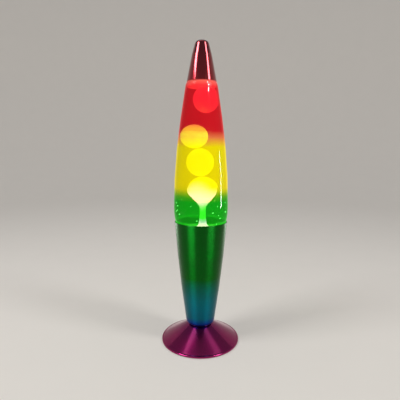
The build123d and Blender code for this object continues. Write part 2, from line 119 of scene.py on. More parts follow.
class FootSettings(bpy.types.PropertyGroup):
    rim_radius: length("Rim radius", "Outer radius of the turned-down rim", high("foot_shell").x)
    rim_height: length("Rim height", "Height of the rim's lower edge above the table", low("foot_shell").z)
    land_height: length("Land height", "Height of the flat top that the cup stands on", high("foot_shell").z)
    land_radius: length("Land radius", "Radius of the flat top", 17.2 * MM)
    lip_width: length("Lip width", "Width of the flatter ring outside the cone", 2.5 * MM)
    lip_height: length("Lip height", "Height of the turned-down rim", 2.0 * MM)
    lip_fall: length("Lip fall", "How far the ring slopes down outwards", 0.4 * MM)
    bend: length("Bend", "Inner radius of the sheet's bends", 0.6 * MM)
    wall: length("Wall", "Thickness of the spun sheet", 1.0 * MM)
    hole_radius: length("Tube hole", "Radius of the hole for the threaded tube", 5.05 * MM)
    grommet_circle: length("Grommet place", "Distance of the grommet from the lamp's axis", 40.0 * MM)
    grommet_hole: length("Grommet hole", "Radius of the hole that the grommet sits in", 4.55 * MM)
    drill_depth: length("Drill depth", "Length of the drill that makes that hole", 6.0 * MM)
    tint: paint("Foot colour", "Dyed colour of the foot", "#a61a68")
    # The foot shade is painted shade: the foot darkens towards the cup that stands over it.
    shade: paint("Foot shade", "Darker colour towards the cup", "#8e1266")


class FixingSettings(bpy.types.PropertyGroup):
    pad_circle: length("Pad circle", "Distance of the pads from the lamp's axis", 45.0 * MM)
    pad_radius: length("Pad radius", "Radius of a pad", 5.0 * MM)
    pad_height: length("Pad height", "Thickness of a pad", 1.1 * MM)
    screw_circle: length("Screw circle", "Distance of the screws from the lamp's axis", 43.0 * MM)
    head_radius: length("Head radius", "Radius of a screw's head", 2.6 * MM)
    head_height: length("Head height", "Thickness of a screw's head", 0.7 * MM)
    shank_radius: length("Shank radius", "Radius of a screw's shank", 1.5 * MM)
    edge: length("Edge", "Radius of the rounded edges", 0.4 * MM)
    slot_width: length("Slot width", "Width of the cross in a screw's head", 0.6 * MM)
    slot_depth: length("Slot depth", "Depth of the cross in a screw's head", 0.45 * MM)


class CupSettings(bpy.types.PropertyGroup):
    rim_radius: length("Rim radius", "Outer radius of the cup's mouth", high("cup_shell").x)
    rim_height: length("Rim height", "Height of the cup's mouth", high("cup_shell").z)
    base_height: length("Base height", "Height of the cup's underside", low("cup_shell").z)
    base_radius: length("Base radius", "Radius where the wall meets the corner's arc", 20.4 * MM)
    base_rise: length("Base rise", "Height of that place above the underside", 6.2 * MM)
    bow: length("Bow", "How far the wall bows out from a straight cone", 1.3 * MM)
    corner: length("Corner", "Radius of the bottom corner", 6.0 * MM)
    wall: length("Wall", "Thickness of the spun sheet", 1.0 * MM)
    hole_radius: length("Tube hole", "Radius of the hole for the threaded tube", 5.05 * MM)
    top: paint("Top colour", "Dyed colour at the cup's mouth", "#025c10")
    middle: paint("Middle colour", "Dyed colour below the middle", "#046a72")
    bottom: paint("Bottom colour", "Dyed colour near the foot", "#046a7e")
    ring: paint("Ring colour", "Dyed colour at the very bottom", "#0c3c9c")
    # This factor darkens the cup's lower edge: painted shade under the cup's bend.
    ring_painted_shade: factor("Ring shade", "Brightness of the lower edge beside the ring's colour", 0.4)


class HolderSettings(bpy.types.PropertyGroup):
    tube_bore: length("Tube bore", "Inner radius of the threaded tube", 3.6 * MM)
    tube_pitch: length("Tube pitch", "Pitch of the tube's M10 thread", 1.0 * MM)
    tube_thread: length("Tube thread", "Depth drawn for the tube's thread", 0.35 * MM)
    shell_bore: length("Shell bore", "Inner radius of the holder's screw shell", 7.05 * MM)
    shell_pitch: length("Shell pitch", "Pitch of the E14 thread", 2.822 * MM)
    shell_thread: length("Shell thread", "Depth of the thread rolled into the shell", 0.28 * MM)


class BulbSettings(bpy.types.PropertyGroup):
    face_radius: length("Face radius", "Radius of the flatter face", 16.5 * MM)
    face_fall: length("Face fall", "How far the face falls to its edge", 1.2 * MM)
    bowl_radius: length("Bowl radius", "Radius at the widest place", 19.5 * MM)
    bowl_fall: length("Bowl fall", "Depth of the widest place's upper edge", 6.5 * MM)
    band_fall: length("Band fall", "Depth of its lower edge, where the silver starts", 9.5 * MM)
    cone_radius: length("Cone radius", "Radius at the silvered cone's foot", 8.6 * MM)
    cone_rise: length("Cone rise", "Height of the cone's foot above the glass's bottom", 22.0 * MM)
    neck_radius: length("Neck radius", "Radius of the neck in the screw cap", 6.3 * MM)
    neck_rise: length("Neck rise", "Height of the neck", 19.0 * MM)
    bend: length("Bend", "Inner radius of the glass's bends", 3.0 * MM)
    neck_bend: length("Neck bend", "Inner radius of the bend at the neck", 1.0 * MM)
    wall: length("Wall", "Thickness of the glass", 0.7 * MM)
    silver_edge: length("Silver edge", "Half the height over which the silver ends", 1.0 * MM)
    cap_bore: length("Cap bore", "Inner radius of the screw cap", 6.2 * MM)
    cap_pitch: length("Cap pitch", "Pitch of the E14 thread", 2.822 * MM)
    cap_thread: length("Cap thread", "Depth of the thread rolled into the cap", 0.4 * MM)


class BottleSettings(bpy.types.PropertyGroup):
    belly_radius: length("Belly radius", "Outer radius at the widest place", high("bottle_glass").x)
    belly_height: length("Belly height", "Height of the widest place", 193.0 * MM)
    base_height: length("Base height", "Height of the bottle's bottom", low("bottle_glass").z)
    mouth_height: length("Mouth height", "Height of the bottle's mouth", high("bottle_glass").z)
    seat_radius: length("Seat radius", "Radius where the bottle rests in the cup's mouth", 35.35 * MM)
    seat_height: length("Seat height", "Height of the cup's mouth", high("cup_shell").z)
    corner: length("Corner", "Radius of the bottom corner", 7.0 * MM)
    side_arc: length("Side arc", "Radius of the long arc above the belly", 790.0 * MM)
    side_taper: angle("Side taper", "Lean of the straight side below the shoulder", 8.8)
    shoulder_height: length("Shoulder height", "Height of the shoulder arc's centre", 355.2 * MM)
    shoulder: length("Shoulder", "Radius of the shoulder's arc", 9.34 * MM)
    neck_radius: length("Neck radius", "Outer radius of the neck", 12.3 * MM)
    neck_fillet: length("Neck fillet", "Radius between shoulder and neck", 1.5 * MM)
    finish_radius: length("Finish radius", "Outer radius of the band at the mouth", 13.3 * MM)
    finish_height: length("Finish height", "Height of the band at the mouth", 4.6 * MM)
    band_foot: length("Band foot", "Radius of the bend under the band", 0.3 * MM)
    band_side: length("Band side", "Radius of the band's lower edge", 0.5 * MM)
    band_top: length("Band top", "Radius of the band's upper edge", 0.4 * MM)
    wall: length("Wall", "Thickness of the glass", 2.0 * MM)
    film: length("Film", "Gap between glass and wax", 0.25 * MM)
    # The pale shoulder colour is a painted reflection along the glass's turn under the cap.
    shoulder_painted_reflection: paint("Shoulder glow", "Paler colour on the shoulder", "#ea6a64")
    top: paint("Top colour", "Colour of the glow at the top", "#c81420")
    blend: paint("Blend colour", "Colour between top and middle", "#e57846")
    middle: paint("Middle colour", "Colour of the glow half way up", "#eeda00")
    bottom: paint("Bottom colour", "Colour of the glow above the cup", "#0a9a12")
    glow: paint("Rim glow", "Bright ring just above the cup's mouth", "#22e022")


class LiquidSettings(bpy.types.PropertyGroup):
    lowest: length("Lowest bubble", "Height that the bubbles start at", 174.0 * MM)
    highest: length("Highest bubble", "Height that the bubbles end at", 204.0 * MM)
    depth: length("Bubble depth", "Distance of the bubbles from the inside of the glass", 1.0 * MM)
    smallest: length("Smallest bubble", "Radius of the smallest bubble", 0.3 * MM)
    largest: length("Largest bubble", "Radius of the largest bubble", 0.8 * MM)
    density: bpy.props.FloatProperty(
        name="Density", description="Bubbles on a square metre of glass", default=3000.0, min=0.0
    )
    seed: bpy.props.IntProperty(name="Seed", description="Fixes the bubbles' places and sizes", default=4)


class WaxSettings(bpy.types.PropertyGroup):
    fill_height: length("Fill height", "Height that wax and liquid reach", high("wax_top").z)
    gathered: length("Gathered depth", "Depth of the wax gathered under the shoulder", 6.5 * MM)
    hanging_radius: length("Hanging blob", "Radius of the blob that hangs from it", 17.6 * MM)
    hanging_offset: length("Hanging offset", "Sideways place of that blob", 6.0 * MM)
    hanging_depth: length("Hanging depth", "How far its centre lies below the fill", 22.5 * MM)
    pool_height: length("Pool height", "Height of the pool at the bottom", 164.0 * MM)
    coil_circle: length("Coil circle", "Radius of the ring that the heating coil lies on", 14.5 * MM)
    coil_room: length("Coil room", "Half the width of the room for the coil", 4.25 * MM)
    coil_height: length("Coil height", "Height of the room for the coil", 8.1 * MM)
    meniscus: length("Meniscus", "Flat ring between the pool's edge and its rise", 4.0 * MM)
    flare_radius: length("Flare radius", "Radius of the stem's foot on the pool", 11.0 * MM)
    throat_radius: length("Throat radius", "Radius where the foot becomes the stem", 5.6 * MM)
    throat_rise: length("Throat rise", "Height of that place above the pool", 5.0 * MM)
    stem_radius: length("Stem radius", "Radius of the stem under the drop", 4.3 * MM)
    stem_fall: length("Stem length", "Length of the stem's even part", 15.0 * MM)
    neck_fall: length("Neck fall", "Depth of the stem's end under the drop's widest place", 25.0 * MM)
    flank_fall: length("Flank fall", "Depth of the drop's flank under that place", 7.0 * MM)
    drop_height: length("Drop height", "Height of the drop's widest place", 220.3 * MM)
    drop_offset: length("Drop offset", "Sideways place of drop and stem", 2.5 * MM)
    drop_half_width: length("Drop half width", "Half the width of the drop", 20.6 * MM)
    drop_top: length("Drop top", "Height of the drop above its widest place", 15.8 * MM)
    drop_edge: length("Drop edge", "Radius of the drop's edge", 12.0 * MM)
    side_edge: length("Side blob edge", "Radius of the side blob's edge", 14.0 * MM)
    # The crest colour is a painted reflection along the shoulder, where the glass turns under the cap.
    crest_painted_reflection: paint("Crest colour", "Wax seen under the cap", "#f25a4a")
    top: paint("Top colour", "Wax seen in the top zone", "#ff2432")
    upper_side: paint("Upper side colour", "Wax seen at the side blob's top", "#f68a3c")
    side: paint("Side colour", "Wax seen where top and middle blend", "#febc34")
    middle: paint("Middle colour", "Wax seen in the middle zone", "#fcee00")
    pale: paint("Pale colour", "Wax seen near the bulb", "#ffffc8")
    neck: paint("Neck colour", "Wax seen between stem and drop", "#c8fd8c")
    stem: paint("Stem colour", "Wax seen in the bottom zone", "#38ff28")
    flare: paint("Flare colour", "Wax seen where the stem leaves the pool", "#e6ffd2")


class CapSettings(bpy.types.PropertyGroup):
    rim_radius: length("Rim radius", "Outer radius of the cap's rim", high("cap_shell").x)
    top_height: length("Top height", "Height of the cap's top", high("cap_shell").z)
    dome: length("Dome", "Rise of the nose's top", 0.9 * MM)
    nose_radius: length("Nose radius", "Radius of the nose before it is rounded", 8.4 * MM)
    nose_height: length("Nose height", "Height of the steeper upper cone", 17.6 * MM)
    waist_radius: length("Waist radius", "Radius where the two cones meet", 13.3 * MM)
    lower_height: length("Lower height", "Height of the lower cone", 34.0 * MM)
    waist_bend: length("Waist bend", "Radius of the bend at the waist", 40.0 * MM)
    nose_bend: length("Nose bend", "Radius of the bend at the nose", 5.2 * MM)
    wall: length("Wall", "Thickness of the spun sheet", 0.8 * MM)
    tint: paint("Cap colour", "Dyed colour of the cap", "#a21224")
    # This factor darkens the cap's nose: painted shade on the cap's top.
    nose_painted_shade: factor("Nose shade", "Brightness of the nose beside the cap's colour", 0.75)


class StageSettings(bpy.types.PropertyGroup):
    distance: length("Camera distance", "Distance of the camera in front of the lamp", 488.4 * MM)
    height: length("Camera height", "Height of the camera", 272.8 * MM)
    pitch: angle("Camera pitch", "How far the camera looks down", 8.07)
    roll: angle("Camera roll", "Roll of the camera about its line of sight", 0.33)
    yaw: angle("Camera yaw", "How far the camera looks to the left", 0.16)
    lens: bpy.props.FloatProperty(
        name="Lens", description="Focal length in millimetres on a 36 mm sensor", default=31.99, min=1.0
    )
    ground: paint("Floor colour", "Colour of floor and backdrop", "#ece7e0")
    sky: paint("Sky colour", "Colour of the light all round", "#7c7d80")


# Outlines, drawn as (radius, height)


def arc(centre, radius, start, end):
    """Points on an arc between two angles in degrees."""
    steps = max(3, ceil(abs(end - start) / ARC_STEP))
    turns = [radians(start + (end - start) * i / steps) for i in range(steps + 1)]
    return [(centre[0] + radius * cos(t), centre[1] + radius * sin(t)) for t in turns]


def line(start, end, step=LINE_STEP):
    """Points on a straight line, without its ends."""
    count = int(hypot(end[0] - start[0], end[1] - start[1]) / step)
    shares = [i / (count + 1) for i in range(1, count + 1)]
    return [(start[0] + (end[0] - start[0]) * s, start[1] + (end[1] - start[1]) * s) for s in shares]


def rounded(points, radii):
    """A line of straight runs with its inner corners rounded to the given radii."""
    made = [points[0]]
    for before, corner, after, radius in zip(points, points[1:], points[2:], radii):
        corner = Vector(corner)
        back = (Vector(before) - corner).normalized()
        ahead = (Vector(after) - corner).normalized()
        half = back.angle(ahead) / 2
        centre = corner + (back + ahead).normalized() * radius / sin(half)
        start, end = corner + back * radius / tan(half) - centre, corner + ahead * radius / tan(half) - centre
        first = degrees(atan2(start.y, start.x))
        turn = degrees(start.angle_signed(end)) * -1
        made += line(made[-1], centre + start) + arc(centre, radius, first, first + turn)
    return made + line(made[-1], points[-1]) + [points[-1]]


def beside(points, wall):
    """The line a wall away to the right of the given one. A start on the axis stays there."""
    ways = [(Vector(b) - Vector(a)).normalized() for a, b in zip(points, points[1:])]
    sides = [Vector((way.y, -way.x)) for way in ways]
    moved = []
    for i, point in enumerate(points):
        a, b = sides[max(i - 1, 0)], sides[min(i, len(sides) - 1)]
        moved.append(tuple(Vector(point) + (a + b) * wall / (1 + a.dot(b))))
    if points[0][0] == 0:
        moved[0] = (0, points[0][1] + wall / sides[0].y)
    return moved


def sheet(points, bends, wall):
    """The closed outline of a turned sheet whose wall lies to the right of its face."""
    face_radii, back_radii = [], []
    for a, b, c, bend in zip(points, points[1:], points[2:], bends):
        left = (b[0] - a[0]) * (c[1] - b[1]) - (b[1] - a[1]) * (c[0] - b[0]) > 0
        face_radii.append(bend if left else bend + wall)
        back_radii.append(bend + wall if left else bend)
    back = rounded(beside(points, wall), back_radii)
    return rounded(points, face_radii) + back[::-1]


def radius_at(outline, z):
    """Radius of an outline at a height."""
    for (r0, z0), (r1, z1) in zip(outline, outline[1:]):
        if z0 <= z <= z1 and z1 > z0:
            return r0 + (r1 - r0) * (z - z0) / (z1 - z0)
    raise ValueError(f"the outline doesn't reach {z}")


def cup_outline(s, inset):
    """The cup's outline from its underside to its mouth, moved inwards by inset."""
    run, rise = s.rim_radius - s.base_radius, s.rim_height - s.base_height - s.base_rise
    chord = hypot(run, rise)
    radius = (chord ** 2 / 4 + s.bow ** 2) / (2 * s.bow)
    reach = radius - s.bow
    centre = (
        s.base_radius + run / 2 - reach * rise / chord,
        s.base_height + s.base_rise + rise / 2 + reach * run / chord,
    )
    corner_z = s.base_height + s.corner
    corner_r = centre[0] + sqrt((radius - s.corner) ** 2 - (corner_z - centre[1]) ** 2)
    start = degrees(asin((corner_z - centre[1]) / (radius - s.corner)))
    end = degrees(asin((s.rim_height - centre[1]) / (radius - inset)))
    wall = arc(centre, radius - inset, start, end)
    foot = arc((corner_r, corner_z), s.corner - inset, -90, start)
    return foot + fine(wall)[1:]


def fine(points):
    """The same line with extra points, so that no run is longer than a profile's step."""
    made = [points[0]]
    for a, b in zip(points, points[1:]):
        made += line(a, b, PROFILE_STEP) + [b]
    return made


def bottle_outline(s, inset):
    """The bottle's outline from its bottom to its mouth, moved inwards by inset."""
    drop = s.belly_radius - s.seat_radius
    below = s.belly_height - s.seat_height
    lower = (below ** 2 + drop ** 2) / (2 * drop)
    taper = asin(below / lower)
    corner_z = s.base_height + s.corner
    reach = (s.belly_radius - lower) * cos(taper) - s.belly_height * sin(taper) + lower - s.corner
    corner_r = (reach + corner_z * sin(taper)) / cos(taper)
    upper = s.side_taper
    reach = (s.belly_radius - s.side_arc) * cos(upper) + s.belly_height * sin(upper) + s.side_arc
    shoulder_r = (reach - s.shoulder - s.shoulder_height * sin(upper)) / cos(upper)
    fillet_r = s.neck_radius + s.neck_fillet
    fillet_z = s.shoulder_height + sqrt((s.shoulder + s.neck_fillet) ** 2 - (fillet_r - shoulder_r) ** 2)
    turn = degrees(atan2(fillet_z - s.shoulder_height, fillet_r - shoulder_r))
    corner = arc((corner_r, corner_z), s.corner - inset, -90, -degrees(taper))
    belly = arc((s.belly_radius - lower, s.belly_height), lower - inset, -degrees(taper), 0)
    side = arc((s.belly_radius - s.side_arc, s.belly_height), s.side_arc - inset, 0, degrees(upper))
    shoulder = arc((shoulder_r, s.shoulder_height), s.shoulder - inset, degrees(upper), turn)
    neck = arc((fillet_r, fillet_z), s.neck_fillet + inset, turn - 180, -180)
    return fine(corner + belly + side + shoulder + neck + [(s.neck_radius - inset, s.mouth_height)])


def oval(half_width, half_height, edge, z):
    """The upper right quarter of an oval about (0, z), from its widest place to its top."""
    reach = half_width - edge
    crown = (reach ** 2 + half_height ** 2 - edge ** 2) / (2 * (half_height - edge))
    turn = degrees(atan2(crown - half_height, reach))
    return arc((reach, z), edge, 0, turn) + arc((0, z + half_height - crown), crown, turn, 90)[1:]


# Meshes


def new_object(name, mesh):
    made = bpy.data.objects.new(name, mesh)
    bpy.context.scene.collection.objects.link(made)
    return made


def clean(mesh):
    """Joins a mesh's doubled points, turns its faces outwards and smooths them, but for its sharp edges."""
    work = bmesh.new()
    work.from_mesh(mesh)
    bmesh.ops.remove_doubles(work, verts=work.verts, dist=MERGE)
    bmesh.ops.dissolve_degenerate(work, edges=work.edges, dist=SLIVER)
    bmesh.ops.recalc_face_normals(work, faces=work.faces)
    for face in work.faces:
        face.smooth = True
    for edge in work.edges:
        edge.smooth = not (edge.is_manifold and edge.calc_face_angle() > radians(CREASE))
    work.to_mesh(mesh)
    work.free()


def skin(name, rings, closed):
    """A mesh from rings of points of equal count. A ring of one point is a pole."""
    points, faces, starts = [], [], []
    for ring in rings:
        starts.append(len(points))
        points += ring
    pairs = list(zip(range(len(rings)), range(1, len(rings))))
    if closed:
        pairs.append((len(rings) - 1, 0))
    for i, j in pairs:
        count = max(len(rings[i]), len(rings[j]))
        for k in range(count):
            after = (k + 1) % count
            corners = [
                starts[i] + k % len(rings[i]),
                starts[i] + after % len(rings[i]),
                starts[j] + after % len(rings[j]),
                starts[j] + k % len(rings[j]),
            ]
            kept = [c for n, c in enumerate(corners) if c != corners[n - 1]]
            if len(kept) > 2:
                faces.append(kept)
    mesh = bpy.data.meshes.new(name)
    mesh.from_pydata(points, [], faces)
    clean(mesh)
    return new_object(name, mesh)


def lathe(name, outline, closed=False, shifts=None, inside=None, segments=SEGMENTS):
    """A body turned about the lamp's axis.

    shifts moves each ring along X, and inside keeps all points within an outline.
    """
    rings = []
    for i, (r, z) in enumerate(outline):
        shift = shifts[i] if shifts else 0.0
        if r < MERGE:
            rings.append([(shift, 0.0, z)])
            continue
        ring = []
        for k in range(segments):
            x, y = shift + r * cos(2 * pi * k / segments), r * sin(2 * pi * k / segments)
            if inside:
                share = min(1.0, radius_at(inside, z) / hypot(x, y))
                x, y = x * share, y * share
            ring.append((x, y, z))
        rings.append(ring)
    return skin(name, rings, closed)


def thread(name, source, inner, pitch, outside_depth=0.0, inside_depth=0.0):
    """A tube as long and wide as a CAD node, with a rounded screw thread on its outside or its inside."""
    rings = []
    outer, bottom, top = high(source).x, low(source).z, high(source).z
    rows = ceil((top - bottom) / pitch * THREAD_ROWS)
    for side, depth in ((outer, outside_depth), (inner, inside_depth)):
        heights = [bottom + (top - bottom) * i / rows for i in range(rows + 1)]
        for z in heights if side == outer else heights[::-1]:
            fade = min(1.0, (z - bottom) / pitch, (top - z) / pitch)
            ring = []
            for k in range(THREAD_SEGMENTS):
                turn = 2 * pi * k / THREAD_SEGMENTS
                groove = depth * fade * (0.5 - 0.5 * cos(2 * pi * z / pitch - turn))
                r = side - groove if side == outer else side + groove
                ring.append((r * cos(turn), r * sin(turn), z))
            rings.append(ring)
    return skin(name, rings, True)


def plain(source, name):
    """A plain mesh object from an object with modifiers, which is removed."""
    bpy.context.view_layer.update()
    evaluated = source.evaluated_get(bpy.context.evaluated_depsgraph_get())
    mesh = bpy.data.meshes.new_from_object(evaluated)
    bpy.data.objects.remove(source)
    mesh.name = name
    return new_object(name, mesh)


def drilled(piece, tool):
    """The piece with the tool's shape cut out of it."""
    cut = piece.modifiers.new("Hole", "BOOLEAN")
    cut.operation, cut.solver, cut.object = "DIFFERENCE", "EXACT", tool
    name = piece.name
    piece.name = name + "_blank"
    made = plain(piece, name)
    bpy.data.objects.remove(tool)
    clean(made.data)
    return made


def box(name, turned):
    """A closed unit cube moved by a matrix."""
    mesh = bpy.data.meshes.new(name)
    work = bmesh.new()
    bmesh.ops.create_cube(work, size=1.0)
    work.to_mesh(mesh)
    work.free()
    mesh.transform(turned)
    return new_object(name, mesh)


def cylinder(name, radius, height, turned):
    """A closed cylinder about its own middle, moved by a matrix."""
    half = height / 2
    made = lathe(name, [(0, -half), (radius, -half), (radius, half), (0, half)], segments=HOLE_SEGMENTS)
    made.data.transform(turned)
    return made


# Node groups

# Where a Mix node mixes colours, they are its inputs 6 and 7, and what it makes is output 2.


def node(tree, kind, inputs=None, **settings):
    """A new node, with its settings, and its inputs given as values, or as sockets or nodes to link."""
    made = tree.nodes.new(kind)
    for key, value in settings.items():
        setattr(made, key, value)
    for key, value in (inputs or {}).items():
        if isinstance(value, bpy.types.Node):
            value = value.outputs[0]
        if isinstance(value, bpy.types.NodeSocket):
            tree.links.new(value, made.inputs[key])
        else:
            made.inputs[key].default_value = value
    return made


def new_group(name, **sockets):
    """A geometry node group with the given inputs, and a node that gives their values."""
    group = bpy.data.node_groups.new(name, "GeometryNodeTree")
    group.interface.new_socket("Geometry", in_out="OUTPUT", socket_type="NodeSocketGeometry")
    for key, kind in sockets.items():
        group.interface.new_socket(key.replace("_", " "), in_out="INPUT", socket_type="NodeSocket" + kind)
    return group, node(group, "NodeGroupInput")


def close_group(group, copies, material):
    """Ends a group: its copies become real and get their material."""
    real = node(group, "GeometryNodeRealizeInstances", {"Geometry": copies})
    finish = node(group, "GeometryNodeSetMaterial", {"Geometry": real, "Material": material})
    node(group, "NodeGroupOutput", {"Geometry": finish})


def ring_group():
    """Node group that sets copies of an object evenly round the lamp's axis, each turned with its place."""
    group, given = new_group(
        "Ring of copies", Piece="Object", Count="Int", Radius="Float", First_turn="Float", Material="Material"
    )
    given = given.outputs
    places = node(group, "GeometryNodePoints", {"Count": given["Count"]})
    index = node(group, "GeometryNodeInputIndex")
    part = node(group, "ShaderNodeMath", {0: index, 1: given["Count"]}, operation="DIVIDE")
    turn = node(
        group, "ShaderNodeMath", {0: part, 1: 2 * pi, 2: given["First turn"]}, operation="MULTIPLY_ADD"
    )
    spin = node(group, "ShaderNodeCombineXYZ", {"Z": turn})
    reach = node(group, "ShaderNodeCombineXYZ", {"X": given["Radius"]})
    spot = node(group, "ShaderNodeVectorRotate", {"Vector": reach, "Angle": turn}, rotation_type="Z_AXIS")
    moved = node(group, "GeometryNodeSetPosition", {"Geometry": places, "Position": spot})
    piece = node(group, "GeometryNodeObjectInfo", {"Object": given["Piece"]})
    copies = node(group, "GeometryNodeInstanceOnPoints", {
        "Points": moved, "Instance": piece.outputs["Geometry"], "Rotation": spin,
    })
    close_group(group, copies, given["Material"])
    return group


def bubble_group():
    """Node group that scatters small bubbles over a surface just inside the glass."""
    group, given = new_group(
        "Bubbles", Wall="Object", Density="Float", Smallest="Float", Largest="Float", Seed="Int",
        Material="Material",
    )
    given = given.outputs
    wall = node(group, "GeometryNodeObjectInfo", {"Object": given["Wall"]})
    places = node(group, "GeometryNodeDistributePointsOnFaces", {
        "Mesh": wall.outputs["Geometry"], "Density": given["Density"], "Seed": given["Seed"],
    })
    size = node(group, "FunctionNodeRandomValue", {
        2: given["Smallest"], 3: given["Largest"], "Seed": given["Seed"],
    })
    ball = node(group, "GeometryNodeMeshIcoSphere", {"Radius": 1.0, "Subdivisions": 3})
    copies = node(group, "GeometryNodeInstanceOnPoints", {
        "Points": places, "Instance": ball, "Scale": size.outputs[1],
    })
    close_group(group, copies, given["Material"])
    return group


def grown(name, group, **values):
    """A plain mesh object made by a node group with the given named inputs."""
    holder = new_object(name + "_nodes", bpy.data.meshes.new(name + "_nodes"))
    step = holder.modifiers.new("Nodes", "NODES")
    step.node_group = group
    keys = {item.name: item.identifier for item in group.interface.items_tree if item.in_out == "INPUT"}
    for key, value in values.items():
        step[keys[key.replace("_", " ")]] = value
    made = plain(holder, name)
    clean(made.data)
    return made


def repeated(name, piece, count, radius, first, material):
    """Copies of a piece round the lamp's axis, as one mesh."""
    made = grown(
        name, ring_group(), Piece=piece, Count=count, Radius=radius, First_turn=first, Material=material
    )
    bpy.data.objects.remove(piece)
    return made


# Materials


# A spinning tool leaves marks about 0.1 mm apart. They are drawn at 0.35 mm, coarse enough to show.
TOOL_MARKS = 0.35 * MM
TOOL_DEPTH = 0.004 * MM
# A dye bath takes a little unevenly, in soft clouds about 22 mm across, at most this much duller.
DYE_CLOUDS = 22 * MM
DYE_DULLING = 0.12
DULL = "#272727"
# Borders between dipped or sprayed colours wander over lengths of about 14 mm, by up to these heights.
BORDER_SPOTS = 14 * MM
DYE_DRIFT = 3 * MM
PAINT_DRIFT = 5 * MM
WAX_DRIFT = 4 * MM
# Drawn glass is slightly wavy over about 30 mm, and sprayed paint over about 26 mm.
GLASS_WAVES = 30 * MM
PAINT_WAVES = 26 * MM
PAINT_DEPTH = 0.05 * MM
# Paint shows by this share of its own glow, and lets the tinted light behind it through for the rest. The
# share grows by up to EDGE_SHARE towards the edges, where the eye looks along the wall, and the glow falls by
# up to GLOW_FALL there.
GLOW_SHARE = 0.5
EDGE_SHARE = 0.3
GLOW_FALL = 0.3
# Unlit paint is this much darker than its glow.
UNLIT = 0.1
# The paint lets through at least the first share of each colour of light, and up to both together.
TINT_LEAST = 0.07
TINT_SPAN = 0.88
# Clear glass and liquid show by these shares of their own surface.
GLASS_SHARE = 0.03
LIQUID_SHARE = 0.02
# Wax has soft swellings about 12 mm across and is mottled in spots of about 9 mm.
WAX_SWELLINGS = 12 * MM
WAX_DEPTH = 0.1 * MM
WAX_SPOTS = 9 * MM
# It gives off at least this much of each colour of light.
WAX_LEAST = 0.02
# Wax above the bulb is palest round this place up to the first distance, and has its own colour beyond the
# second. This paleness is a painted pool of the bulb's light on the drop's near side.
CORE_PLACE = (-3 * MM, -12 * MM, 209 * MM)
CORE_INNER = 4 * MM
CORE_OUTER = 24 * MM
# A frosted bulb's etched grain is far finer than 0.25 mm, and is drawn at that.
FROST = 0.25 * MM
FROST_DEPTH = 0.02 * MM
# Noise keeps mostly between these values.
NOISE_RANGE = {"From Min": 0.3, "From Max": 0.7}
# How far roughness strays either way from its value.
STRAY = 0.15

# Plain finishes: two near colours, the size in mm of the spots they lie in, roughness, depth in mm of the
# relief, and what else the shader is given.
FINISHES = {
    # Moulded rubber: nearly black and dull. The mould's 0.2 mm grain is drawn at 0.8 mm, to show.
    "moulded_black_rubber": ("#1a1a1a", "#232323", 0.8, 0.75, 0.03, {}),
    # The grommet's rubber is a little smoother, its 0.2 mm grain drawn at 0.5 mm.
    "grommet_moulded_rubber": ("#161616", "#202020", 0.5, 0.6, 0.02, {}),
    # Zinc plate on rolled sheet: dull grey metal with faint clouds 1 to 2 mm across.
    "zinc_plated_sheet_steel": ("#a8a9a4", "#94958f", 1.5, 0.38, 0.01, {"Metallic": 1.0}),
    # Bright zinc on headed screws: shinier and lighter. Tool marks of 0.1 mm are drawn at 0.6 mm.
    "bright_zinc_screw_steel": ("#b4b4b0", "#9c9c98", 0.6, 0.3, 0.01, {"Metallic": 1.0}),
    # Zinc plate on turned and stamped parts: grey, satin, clouded over about 1 mm.
    "zinc_plated_turned_steel": ("#a6a7a2", "#8f908b", 1.2, 0.36, 0.01, {"Metallic": 1.0}),
    # Drawn brass: warm yellow metal, tarnished a little in patches about 2 mm across.
    "drawn_brass": ("#c9a04a", "#b58c3c", 2.0, 0.28, 0.005, {"Metallic": 1.0}),
    # Moulded phenolic: off-white with flow marks about 5 mm wide and a low gloss.
    "white_phenolic_moulding": ("#dcd8cc", "#d2cdbf", 5.0, 0.45, 0.02, {}),
    # Pressed and fired steatite: chalky and matt. Its 0.1 mm grain is drawn at 0.6 mm.
    "pressed_steatite": ("#d8d3c6", "#c8c2b3", 0.6, 0.8, 0.02, {}),
    # Nickel plate on rolled brass: bright, slightly yellow grey.
    "nickel_plated_brass": ("#b9b8b2", "#a5a49e", 2.0, 0.22, 0.004, {"Metallic": 1.0}),
    # Tin solder set in a drop: soft grey, dimpled over about 0.7 mm.
    "tin_solder": ("#a9a9a6", "#8e8e8b", 0.7, 0.35, 0.02, {"Metallic": 1.0}),
    # Black glass poured round the contact: smooth and glossy.
    "black_vitrite": ("#15151b", "#22222a", 1.0, 0.2, 0.0, {}),
    # The bulb's clear glass stem: half seen through.
    "clear_stem_glass": ("#c8ccc8", "#b8bcb8", 2.0, 0.1, 0.0, {"Alpha": 0.45}),
    # Nickel wire, a little oxidised by heat.
    "nickel_lead_wire": ("#a89c84", "#94886e", 0.5, 0.4, 0.0, {"Metallic": 1.0}),
    # Tungsten at work: it glows yellow and hides its own surface.
    "hot_tungsten_wire": ("#ffcf8a", "#ffb860", 0.4, 0.5, 0.0, {
        "Emission Strength": 2.0, "Emission Color": "#ffcb89",
    }),
    # Tinplate under baked enamel: cream, a clear gloss over slightly uneven colour.
    "enamelled_tinplate": ("#b8b4a6", "#aaa698", 4.0, 0.32, 0.01, {"Coat Weight": 0.5}),
    # Soft vinyl: pale and waxy.
    "liner_vinyl": ("#d6d4cc", "#cac7be", 2.0, 0.5, 0.01, {}),
    # Spring wire as wound: dark grey, drawn marks of 0.1 mm shown at 0.6 mm.
    "wound_spring_steel": ("#7a7874", "#64625f", 0.6, 0.35, 0.01, {"Metallic": 1.0}),
}


def rgba(value, brightness=1.0):
    """A colour for a socket, from sRGB hex or linear RGB."""
    value = colour(value) if isinstance(value, str) else value
    return tuple(c * brightness for c in value) + (1.0,)


